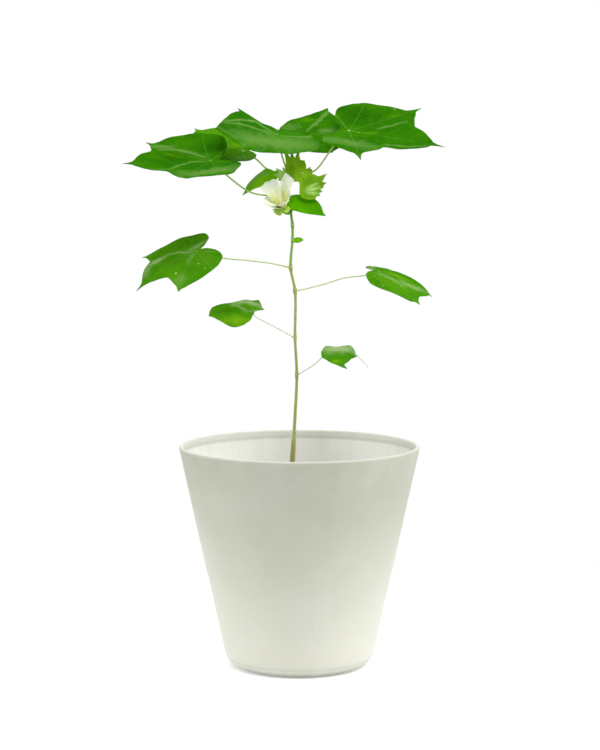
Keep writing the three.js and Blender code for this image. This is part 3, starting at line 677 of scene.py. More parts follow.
def rod(line, sides):
    """A closed rod through the places of a smooth line, as a mesh."""
    curve = bpy.data.curves.new("rod", "CURVE")
    curve.dimensions = "3D"
    curve.bevel_depth = 1.0
    curve.bevel_resolution = sides // 4
    curve.use_fill_caps = True
    spline = curve.splines.new("POLY")
    spline.points.add(len(line) - 1)
    for point, (centre, radius) in zip(spline.points, line):
        point.co = (*(centre * MM), 1.0)
        point.radius = max(radius, THINNEST_ROD) * MM
    part = bpy.data.objects.new("rod", curve)
    bpy.context.scene.collection.objects.link(part)
    pick(part)
    bpy.ops.object.convert(target="MESH")
    return bpy.context.object


# %% [markdown]
# ## The shoot
#
# The shoot is a wand that swells at every joint where a stalk leaves it, with a thicker neck where it
# stands in the soil. Its radius is worked out at each place: the taper, plus a soft swelling round
# each joint, plus a little unevenness. Each joint is a height, how much it swells, and how far the
# swelling reaches. Two short branches carry the flower and the bud. A small leaflet, a stipule, is
# still left on one of the upper joints.

# %% Shoot and branches
MAIN_SHOOT = [
    (-8, 0, 190, 3.0), (-8, 0, 205, 3.0), (-8, 0, 239, 3.0), (-7, 0, 257, 2.8),
    (-6.8, 0, 261, 2.8), (-6.6, 0, 264.5, 2.6), (-6.4, 0, 268, 1.95), (-5, 0, 293, 1.85),
    (-3, 0, 340, 1.55), (-5, 0, 383, 1.5), (-5, 0, 437, 1.5), (-10, 0, 464, 1.5),
    (-8, 0, 496, 1.45), (-8, 0, 513, 1.5), (-10, 0, 528, 1.55), (-12, 1, 547, 1.5),
    (-13, 2, 567, 1.35),
]
SHOOT_UNEVENNESS = 0.06
JOINTS = [
    (340, 0.8, 3.4), (383, 0.7, 3.2), (437.5, 1.1, 3.4), (464, 1.0, 3.4), (496, 0.5, 2.8),
    (513, 0.7, 2.8), (531, 1.0, 3.6), (545, 0.6, 2.8), (561, 1.0, 4.0),
]
FLOWER_BASE = Vector((-19.5, -15, 532))
BUD_BASE = Vector((3, -7, 565))
FLOWER_BRANCH = [
    (-10.5, 0, 527, 1.7), (-14, -5, 526.5, 1.6), (-18.4, -12, 529, 1.6), (*FLOWER_BASE, 1.9),
]
BUD_BRANCH = [
    (-13, 1.5, 560, 1.2), (-10.5, -2, 565, 1.1), (-4, -6, 567.4, 1.1), (*BUD_BASE, 1.6),
]


def grown_line():
    """The shoot's line, with a swelling round each joint and a little unevenness."""
    line = []
    for centre, radius in smooth_line(MAIN_SHOOT, 14):
        for height, swell, reach in JOINTS:
            radius += swell * math.exp(-((centre.z - height) / reach) ** 2)
        radius += SHOOT_UNEVENNESS * noise.noise(centre * 0.35)
        line.append((centre, radius))
    tip, last = line[-1]
    for share in (0.5, 0.85, 1.0):
        line.append((tip + Vector((-0.1, 0.1, 1.6 * share)), last * math.sqrt(1.02 - share)))
    return line


shoot = rod(grown_line(), 20)
branches = [rod(smooth_line(route, 10), 12) for route in (FLOWER_BRANCH, BUD_BRANCH)]
print("shoot faces", len(shoot.data.polygons))

# %% [markdown]
# ### The shoot's finish
#
# Young bark is olive green with fine lengthwise streaks. It turns paler and browner lower down, with
# a dry husk round the neck, and is freshest at the top. It carries pale specks, the dark dots of oil
# glands, a pale scar at each joint and a reddish blush at one. Height on the object drives the change
# of colour; a stretched noise draws the streaks.

# %% Mix the shoot's bark
BARK_STREAKS = ((0.215, 0.28, 0.043), (0.38, 0.45, 0.115))
YOUNG_STREAKS = ((0.08, 0.25, 0.006), (0.18, 0.40, 0.025))
HUSK_STREAKS = ((0.17, 0.155, 0.035), (0.34, 0.33, 0.11))
LOWER_BARK = (0.37, 0.34, 0.11)
JOINT_SCAR = (0.58, 0.60, 0.34)
JOINT_BLUSH = (0.34, 0.18, 0.10)
BLUSH_HEIGHT = 0.4375
BARK_SPECKS = (0.45, 0.50, 0.22)
BARK_GLANDS = (0.03, 0.05, 0.008)


def shoot_bark():
    bark = Finish("green_bark", Specular_IOR_Level=0.3)
    place = bark.place()
    z = bark.split(place)[2]
    streaks = bark.cloud(bark.stretch(place, (900.0, 900.0, 60.0)), 1.0, 3.0, 0.6)
    blotches = bark.cloud(place, 160.0, 3.0, 0.6)
    green = bark.blend(streaks, *BARK_STREAKS)
    young = bark.blend(streaks, *YOUNG_STREAKS)
    tint = bark.blend(bark.ramp(z + blotches * 0.05, 0.46, 0.56), green, young)
    neck = 1.0 - bark.ramp(z + blotches * 0.012, 0.262, 0.268)
    tint = bark.blend(neck, tint, bark.blend(streaks, *HUSK_STREAKS))
    lower = 1.0 - bark.ramp(z + blotches * 0.08, 0.30, 0.42)
    tint = bark.blend(lower * 0.45, tint, LOWER_BARK)
    scars = 0.0
    for height, _, _ in JOINTS:
        off = abs(z + streaks * 0.001 - (height + 1.0) * MM)
        scars = (1.0 - bark.ramp(off, 0.0003, 0.0014)).most(scars)
    tint = bark.blend(scars * 0.3, tint, JOINT_SCAR)
    blush = 1.0 - bark.ramp(abs(z - BLUSH_HEIGHT), 0.001, 0.0045)
    tint = bark.blend(blush * blotches * 0.5, tint, JOINT_BLUSH)
    tint = bark.blend(bark.dots(place, 330.0, 0.12, 0.24) * 0.4, tint, BARK_SPECKS)
    tint = bark.blend(bark.dots(place, 620.0, 0.10, 0.18) * 0.55, tint, BARK_GLANDS)
    bark.colour(tint)
    bark.roughness(0.5 + streaks * 0.2)
    bark.relief(streaks + blotches, 0.0003, 0.7)
    return bark.material


bark_green = shoot_bark()

# %% [markdown]
# ## The leaves
#
# A cotton leaf is a hand: three to seven lobes round the point where the stalk arrives, each with a
# vein of its own and a fine tip. Cutting such an outline from a flat sheet would leave the veins no
# mesh to follow. Instead a plain grid is wrapped round the joint like a fan, so that its columns run
# out along the veins and its last row is the leaf's edge. The edge is a short list of points, and the
# same few numbers fold, droop and turn the blade as they do in the solid.

# %% The edge of a blade
SPIKE_HALF_WIDTH = 4.5
VEIN_ANGLES = [-150, -105, -55, 0, 55, 105, 150]
PLEAT = 0.05
BESIDE_VEIN = 0.9
LEAST_COLUMN_STEP = 0.35


def edge_slope(before, here, after):
    """The edge's slope at one of its points: level at tips and notches, steady between them."""
    arriving = (here[1] - before[1]) / ((here[0] - before[0]) % 360.0)
    leaving = (after[1] - here[1]) / ((after[0] - here[0]) % 360.0)
    if arriving * leaving <= 0.0:
        return 0.0
    return 2.0 * arriving * leaving / (arriving + leaving)


def edge_distance(leaf, angle):
    """How far the edge is from the joint, in mm, at an angle in degrees from the midrib."""
    edge = sorted(leaf["edge"])
    wrapped = (angle + 180.0) % 360.0 - 180.0
    after = next((i for i, point in enumerate(edge) if point[0] > wrapped), 0)
    before, start, end = edge[after - 2], edge[after - 1], edge[after]
    beyond = edge[(after + 1) % len(edge)]
    span = (end[0] - start[0]) % 360.0
    share = (wrapped - start[0]) % 360.0 / span
    ease = share * share * (3.0 - 2.0 * share)
    leave = edge_slope(before, start, end) * span * share * (1.0 - share) ** 2
    arrive = edge_slope(start, end, beyond) * span * share * share * (1.0 - share)
    distance = start[1] + (end[1] - start[1]) * ease + leave - arrive
    for lobe, reach, spike in edge:
        off = abs((wrapped - lobe + 180.0) % 360.0 - 180.0)
        width = math.degrees(SPIKE_HALF_WIDTH / reach)
        distance += spike * max(0.0, 1.0 - off / width) ** 2
    return distance


def fan_angles(leaf, widest):
    """The fan's columns: every point of the edge and every vein, and enough in between."""
    angles = []
    for angle, distance, spike in leaf["edge"]:
        angles.append(angle)
        if spike > 0:
            width = math.degrees(SPIKE_HALF_WIDTH / distance)
            angles += [angle + width * share for share in (-1, -0.5, -0.2, 0.2, 0.5, 1)]
    for vein in leaf["veins"]:
        angles += [vein - BESIDE_VEIN, vein, vein + BESIDE_VEIN]
    turned = sorted(angle % 360.0 for angle in angles)
    columns = []
    for i, angle in enumerate(turned):
        following = turned[i + 1] if i + 1 < len(turned) else turned[0] + 360.0
        parts = max(1, math.ceil((following - angle) / widest))
        for part in range(parts):
            column = angle + (following - angle) * part / parts
            if not columns or column - columns[-1] > LEAST_COLUMN_STEP:
                columns.append(column)
    return columns


# %% [markdown]
# The veins of each leaf point at its own lobes. So that one finish can draw them on every leaf, the
# angle round the joint is stretched until the seven veins stand evenly apart. That evened angle and
# the distance from the joint become the leaf's texture map: angle across, distance up. The same two
# numbers shape the quilting between the side veins in the mesh itself. The side veins' step, slant
# and lag, and the quilting's widths and depths, are shares of the leaf's length.

# %% Where a place lies between the veins
VEIN_STEP = 360.0 / 7.0
EVEN_VEINS = [VEIN_STEP * place for place in range(-3, 4)]
SIDE_VEIN_STEP = 0.13
SIDE_VEIN_SLANT = 0.8
SIDE_VEIN_LAG = 0.03
GROOVE_DEPTH = 0.006
GROOVE_WIDTH = 0.016
CUSHION_HEIGHT = 0.003
CUSHION_WIDTH = 0.06


def even_angle(leaf, angle):
    """The angle after the leaf's own veins are moved to stand evenly apart."""
    wrapped = (angle + 180.0) % 360.0 - 180.0
    own = [-180.0] + list(leaf["veins"]) + [180.0]
    even = [-180.0] + EVEN_VEINS + [180.0]
    for i in range(len(own) - 1):
        if wrapped <= own[i + 1]:
            share = (wrapped - own[i]) / (own[i + 1] - own[i])
            return even[i] + (even[i + 1] - even[i]) * share
    return 180.0


def pleat_at(angle):
    """The broad bulge between two main veins, as in the solid."""
    wrapped = (angle + 180.0) % 360.0 - 180.0
    veins = VEIN_ANGLES + [VEIN_ANGLES[0] + 360]
    turned = wrapped + 360.0 if wrapped < VEIN_ANGLES[0] else wrapped
    after = next((i for i, vein in enumerate(veins) if vein > turned), len(veins) - 1)
    start, end = veins[after - 1], veins[after]
    return math.sin(math.pi * (turned - start) / (end - start))


def quilting(even, reach, share):
    """Grooves along the veins and cushions between the side veins, as a share of the length."""
    off = ((even / VEIN_STEP + 0.5) % 1.0 - 0.5) * math.radians(VEIN_STEP)
    along, across = reach * math.cos(off), abs(reach * math.sin(off))
    fade = min(1.0, (1.0 - share) / 0.25) * min(1.0, reach / 0.12)
    groove = -GROOVE_DEPTH * math.exp(-((across / GROOVE_WIDTH) ** 2)) * (1.0 - 0.6 * share)
    side = 1.0 if off > 0 else -1.0
    slant = along - SIDE_VEIN_SLANT * across + SIDE_VEIN_LAG * side
    rib = math.sin(math.pi * slant / SIDE_VEIN_STEP)
    cushion = CUSHION_HEIGHT * (rib * rib - 0.5) * min(1.0, across / CUSHION_WIDTH)
    return (groove + cushion) * fade


# %% [markdown]
# A blade is shaped on its own axes first: the midrib runs along x, and the pleats, fold, droop and
# dip are added in z. One matrix then gives it its heading, rise and roll and moves it to its joint.

# %% Bend a blade and turn it to its place
def blade_point(leaf, angle, distance):
    """A place of the blade in its own frame: x along the midrib, y to its left, all in mm."""
    length = leaf["length"]
    x = distance * math.cos(math.radians(angle))
    y = distance * math.sin(math.radians(angle))
    fold = leaf.get("fold_left", 0.0) if y > 0 else leaf.get("fold_right", 0.0)
    z = PLEAT * distance * pleat_at(angle) * min(1.0, distance / length)
    z -= fold * y * y / (abs(y) + 0.15 * length)
    z -= leaf.get("droop", 0.0) * distance * distance / length
    z -= leaf.get("dip", 0.0) * max(0.0, x) ** 2 / length
    return Vector((x, y, z))


def leaf_frame(leaf):
    """Turns a blade from its own frame to its place on the plant."""
    heading, rise, roll = (math.radians(leaf[turn]) for turn in ("heading", "rise", "roll"))
    along = Vector((
        math.cos(rise) * math.cos(heading), math.cos(rise) * math.sin(heading), math.sin(rise),
    ))
    level = Vector((-math.sin(heading), math.cos(heading), 0.0))
    up = along.cross(level)
    left = level * math.cos(roll) + up * math.sin(roll)
    out = up * math.cos(roll) - level * math.sin(roll)
    frame_rows = Matrix((along, left, out)).transposed().to_4x4()
    return Matrix.Translation(Vector(leaf["joint"])) @ frame_rows


# %% [markdown]
# A live leaf is not one green, and light and shade lie on it in patches, which are painted in. Where
# it bulges towards the sky a painted sheen stands in for the sky that it reflects, painted shade
# darkens its folds and the parts that other leaves shade, and a painted yellow glow stands in for the
# light on and through its thin places. Such patches belong to one leaf only, so each leaf lists a
# few brush strokes in its own angles and distances. They are painted on the mesh as attributes, which
# the finish then reads, and so they stay where they are from every side.

# %% Paint strokes on a blade
# The three kinds of stroke are a painted sheen, painted shade and a painted glow of light.
STROKE_KINDS = ("painted_sheen", "shade", "painted_glow")


def stroke_place(route, x, y):
    """How far a place is from a stroke through (angle, distance) points, and how far along it."""
    corners = [
        Vector((far * math.cos(math.radians(angle)), far * math.sin(math.radians(angle))))
        for angle, far in route
    ]
    here = Vector((x, y))
    nearest, along = (here - corners[0]).length, 0.0
    for order, (start, end) in enumerate(zip(corners, corners[1:])):
        step = end - start
        share = max(0.0, min(1.0, (here - start).dot(step) / step.length_squared))
        distance = (here - start - step * share).length
        if distance < nearest:
            nearest, along = distance, (order + share) / (len(corners) - 1)
    return nearest, along


def painted(mesh, marks, spots):
    """Adds one attribute for each kind of stroke; spots are the vertices' places on the blade."""
    uneven = [1.0 + 0.6 * noise.noise(Vector((x, y, 7.0)) * 0.13) for x, y in spots]
    for kind in STROKE_KINDS:
        layer = mesh.attributes.new(kind, "FLOAT", "POINT")
        strokes = [mark for mark in marks if mark[0] == kind]
        for number, (x, y) in enumerate(spots):
            strength = 0.0
            for _, width, amount, route in strokes:
                distance, along = stroke_place(route, x, y)
                off = distance * uneven[number] / width
                fade = 0.6 + 0.4 * math.sin(math.pi * along)
                strength = max(strength, amount * fade * math.exp(-off ** 2.6))
            layer.data[number].value = strength


# %% Wrap a grid into a blade
BLADE_THICKNESS = 0.4
RIPPLE_HEIGHT = 0.5
MERGE_DISTANCE = 0.000002


def wrapped_blade(leaf, rings, widest, finishes):
    """A closed thin blade: a grid wrapped round the joint, quilted, then given thickness."""
    columns = fan_angles(leaf, widest)
    columns.append(columns[0] + 360.0)
    bpy.ops.object.select_all(action="DESELECT")
    bpy.ops.mesh.primitive_grid_add(x_subdivisions=len(columns) - 1, y_subdivisions=rings)
    blade = bpy.context.object
    mesh = blade.data
    place = leaf_frame(leaf)
    maps = []
    spots = []
    start_even = even_angle(leaf, columns[0])
    ripple_seed = Vector((leaf["length"], leaf["heading"], 0.0))
    edges = [edge_distance(leaf, angle) for angle in columns]
    evens = []
    for angle in columns:
        even = even_angle(leaf, angle)
        evens.append(even + (360.0 if even < start_even - 1e-6 else 0.0))
    evens[-1] = evens[0] + 360.0
    for ring in range(rings + 1):
        share = (ring / rings) ** 0.85
        for column, angle in enumerate(columns):
            distance = share * edges[column]
            point = blade_point(leaf, angle, distance)
            reach = distance / leaf["length"]
            point.z += leaf["length"] * quilting(evens[column], reach, ring / rings)
            ripple = noise.noise(point * 0.11 + ripple_seed)
            point.z += RIPPLE_HEIGHT * ripple * share
            mesh.vertices[ring * len(columns) + column].co = (place @ point) * MM
            maps.append((evens[column] / 360.0 + 0.5, reach))
            turn = math.radians(angle)
            spots.append((distance * math.cos(turn), distance * math.sin(turn)))
    layer = mesh.uv_layers[0]
    layer.name = "blade"
    for loop in mesh.loops:
        layer.data[loop.index].uv = maps[loop.vertex_index]
    painted(mesh, leaf.get("marks", ()), spots)
    edit_all(blade)
    bpy.ops.mesh.remove_doubles(threshold=MERGE_DISTANCE)
    bpy.ops.mesh.normals_make_consistent(inside=False)
    leave_edit()
    upward = place.to_3x3() @ Vector((0.0, 0.0, 1.0))
    if sum(face.normal.dot(upward) for face in mesh.polygons) < 0:
        edit_all(blade)
        bpy.ops.mesh.flip_normals()
        leave_edit()
    for finish in finishes:
        mesh.materials.append(finish)
    apply_modifier(
        blade, "SOLIDIFY", thickness=BLADE_THICKNESS * MM, offset=0.0, use_rim=True,
        material_offset=1, material_offset_rim=0,
    )
    smooth(blade, 50.0)
    return blade


# %% [markdown]
# ### The leaf's finish
#
# Seen closely a leaf is a map: pale main veins, side veins that leave them at a slant, a fine net
# between those, and dark dots of glands. On the upper side the veins lie sunk and pale yellow-green;
# underneath they stand proud on a paler, matter green. The map that was laid on the blade makes each
# vein a simple sum of angle and distance, and the net is the edges of small cells. A little noise
# makes the veins wander, so that no two leaves show the same lines.

# %% Draw the veins
VEIN_WANDER = 0.34


class Blade(Finish):
    """A finish that reads a blade's map and knows where its veins are."""

    def __init__(self, name, **constants):
        super().__init__(name, **constants)
        self.here = self.place()
        across_map, self.reach = self.split(self.node("ShaderNodeUVMap", {"uv_map": "blade"}))[:2]
        wander = (self.cloud(self.here, 32.0, 2.0, 0.5) - 0.5) * VEIN_WANDER
        off = ((across_map * 7.0) % 1.0 - 0.5 + wander * 0.35) * math.radians(VEIN_STEP)
        self.along = self.reach * off.cosine()
        self.across = abs(self.reach * off.sine())
        self.side = off.sign()

    def main_veins(self, width):
        """1 on the seven main veins, which thin out towards the edge."""
        edge = (1.15 - self.reach).most(0.15) * width
        return 1.0 - self.ramp(self.across / edge, 0.55, 1.0)

    def side_veins(self, width):
        """1 on the veins that leave the main ones at a slant."""
        bow = self.across * self.across * 0.9
        slant = self.along - self.across * SIDE_VEIN_SLANT + bow + self.side * SIDE_VEIN_LAG
        place = (slant / SIDE_VEIN_STEP) % 1.0
        off = 0.5 - abs(place - 0.5)
        fade = (1.0 - self.across * 1.6).most(0.25)
        return (1.0 - self.ramp(off, width * 0.5, width)) * fade

    def net(self, scale, width):
        """1 on the finest veins."""
        return 1.0 - self.ramp(self.cells(self.here, scale, "DISTANCE_TO_EDGE"), 0.0, width)

    def stroke(self, kind):
        """How strongly one kind of stroke is painted here."""
        return self.node("ShaderNodeAttribute", {"attribute_name": kind}, output="Fac")


# %% [markdown]
# The upper side starts from two greens in soft clouds, and has no gloss of its own. The painted
# strokes lay on a yellow glow of painted light, painted shade and a painted sheen in place of the
# gloss, then the net, side veins and main veins are drawn, and the glands are dotted on. The main
# veins fade towards the joint, where all seven meet. A few old insect bites, each a place and a
# radius in mm, show as pale yellow spots.

# %% Mix the upper side
NET_SCALE = 330.0
GLAND_SCALE = 700.0
OLD_BITE_TINT = (0.62, 0.72, 0.25)


def leaf_top(name, dark, light, vein, sheen, glow_colour, bites=()):
    top = Blade(name, Specular_IOR_Level=0.0)
    clouds = top.cloud(top.here, 26.0, 3.0, 0.55)
    tint = top.blend(top.ramp(clouds, 0.32, 0.68), dark, light)
    mottle = top.cloud(top.here, 150.0, 3.0, 0.6)
    tint = top.blend(top.ramp(mottle, 0.45, 0.8) * 0.25, tint, light)
    # Painted light: a yellower glow where light falls on and shines through the leaf.
    tint = top.blend(top.stroke("painted_glow"), tint, glow_colour)
    # Painted shade in the leaf's folds and where other leaves shade it.
    tint = top.blend(top.stroke("shade"), tint, tuple(0.55 * part for part in dark))
    # Painted sheen: a pale grey-green where the leaf would reflect the sky, in place of gloss.
    sheen_mottle = 0.75 + mottle * 0.5
    tint = top.blend((top.stroke("painted_sheen") * sheen_mottle).least(1.0), tint, sheen)
    main = top.main_veins(0.0085)
    side = top.side_veins(0.032)
    net = top.net(NET_SCALE, 0.09)
    tint = top.blend(net * 0.07, tint, vein)
    tint = top.blend(side * 0.20, tint, vein)
    joint_star = top.ramp(top.reach, 0.03, 0.16) * 0.55 + 0.45
    tint = top.blend(main * joint_star * 0.32, tint, vein)
    glands = top.dots(top.here, GLAND_SCALE, 0.10, 0.17)
    tint = top.blend(glands * 0.30, tint, tuple(0.3 * part for part in dark))
    for spot, reach in bites:
        feeds = {0: top.here, 1: tuple(MM * part for part in spot)}
        settings = {"operation": "DISTANCE"}
        away = top.node("ShaderNodeVectorMath", settings, feeds, output="Value")
        bite = 1.0 - top.ramp(away + mottle * 0.0008, 0.4 * reach * MM, reach * MM)
        tint = top.blend(bite * 0.8, tint, OLD_BITE_TINT)
    top.colour(tint)
    top.roughness(0.58 + clouds * 0.12 + main * 0.1)
    top.relief(1.0 - (main * 0.7 + side * 0.5 + net * 0.25).least(1.0), 0.00025, 0.6)
    return top.material


# %% [markdown]
# The underside is plainer: its veins are drawn wider and paler, because they stand proud, and the
# glands are greener. The stalks share the glands, and are paler low on the plant, where they are
# thinner and older.

# %% Mix the underside and the stalks
UNDER_GLANDS = (0.06, 0.13, 0.02)
STALK_STREAKS = ((0.26, 0.42, 0.06), (0.45, 0.62, 0.18))
LOW_STALK = (0.58, 0.66, 0.40)
STALK_GLANDS = (0.06, 0.12, 0.02)


def leaf_underside(name, dark, light, vein):
    under = Blade(name, Specular_IOR_Level=0.2)
    clouds = under.cloud(under.here, 40.0, 3.0, 0.55)
    tint = under.blend(under.ramp(clouds, 0.32, 0.68), dark, light)
    main = under.main_veins(0.02)
    side = under.side_veins(0.07)
    net = under.net(NET_SCALE, 0.12)
    tint = under.blend(net * 0.16, tint, vein)
    tint = under.blend(side * 0.6, tint, vein)
    tint = under.blend(main * 0.9, tint, vein)
    glands = under.dots(under.here, GLAND_SCALE, 0.12, 0.20)
    tint = under.blend(glands * 0.2, tint, UNDER_GLANDS)
    under.colour(tint)
    under.roughness(0.62 + clouds * 0.12)
    under.relief((main + side * 0.5 + net * 0.04).least(1.0), 0.0002, 0.5)
    return under.material


def stalk_finish():
    stalk = Finish("leaf_stalk", Specular_IOR_Level=0.3)
    place = stalk.place()
    streaks = stalk.cloud(place, 420.0, 3.0, 0.6)
    tint = stalk.blend(streaks, *STALK_STREAKS)
    low_down = 1.0 - stalk.ramp(stalk.split(place)[2], 0.40, 0.49)
    tint = stalk.blend(low_down * 0.75, tint, LOW_STALK)
    tint = stalk.blend(stalk.dots(place, 620.0, 0.10, 0.18) * 0.2, tint, STALK_GLANDS)
    stalk.colour(tint)
    stalk.roughness(0.5 + streaks * 0.2)
    stalk.relief(streaks, 0.0002, 0.6)
    return stalk.material


# %% [markdown]
# Three ages of leaf share these finishes: the deep green crown, the fresher leaves lower down, and
# the bright young ones at the flower. The fresher greens are the lower leaves' own yellower green,
# and are also painted lighter for the lesser light that reaches them: painted light.

# %% The greens of each age
DEEP_GREENS = ((0.014, 0.118, 0.0003), (0.030, 0.165, 0.0006))
FRESH_GREENS = ((0.038, 0.190, 0.0006), (0.070, 0.250, 0.004))
BRIGHT_GREENS = ((0.055, 0.270, 0.0006), (0.100, 0.360, 0.001))
OLD_BITES = [((110.6, 34.2, 645.5), 1.8)]
FRESH_BITES = [
    ((-139.2, -52.5, 460.6), 2.0), ((-114, -48.4, 471.2), 1.8), ((-106.3, -58, 466.5), 1.5),
    ((96.4, -9.8, 443.8), 1.4), ((142.3, 29.1, 436), 1.4), ((86.7, 8.3, 454.2), 1.3),
    ((116.7, 5.7, 442.2), 1.2),
]
old_top = leaf_top(
    "leaf_top", *DEEP_GREENS, vein=(0.15, 0.33, 0.05), sheen=(0.13, 0.265, 0.052),
    glow_colour=(0.09, 0.24, 0.001), bites=OLD_BITES,
)
fresh_top = leaf_top(
    "fresh_leaf_top", *FRESH_GREENS, vein=(0.20, 0.42, 0.07), sheen=(0.285, 0.40, 0.165),
    glow_colour=(0.16, 0.36, 0.003), bites=FRESH_BITES,
)
old_under = leaf_underside(
    "leaf_underside", dark=(0.11, 0.25, 0.05), light=(0.17, 0.33, 0.08), vein=(0.33, 0.50, 0.19),
)
young_top = leaf_top(
    "young_leaf_top", *BRIGHT_GREENS, vein=(0.16, 0.46, 0.02), sheen=(0.16, 0.36, 0.07),
    glow_colour=(0.18, 0.45, 0.004),
)
young_under = leaf_underside(
    "young_leaf_underside", dark=(0.12, 0.32, 0.04), light=(0.20, 0.42, 0.07),
    vein=(0.36, 0.58, 0.18),
)
stalk_green = stalk_finish()
print("leaf finishes:", [old_top.name, fresh_top.name, young_top.name, old_under.name])

# %% [markdown]
# ### Each leaf's own numbers
#
# No two leaves of a plant are alike, so each has its own entry: where its joint is, where the midrib
# heads, how far the tip rises and the blade rolls, how it folds and droops, the way of its stalk from
# the shoot, the angles of its seven veins, its strokes as (kind, width, strength, way), and its edge
# as (angle, distance, length of fine tip). Angles are in degrees and lengths in mm.

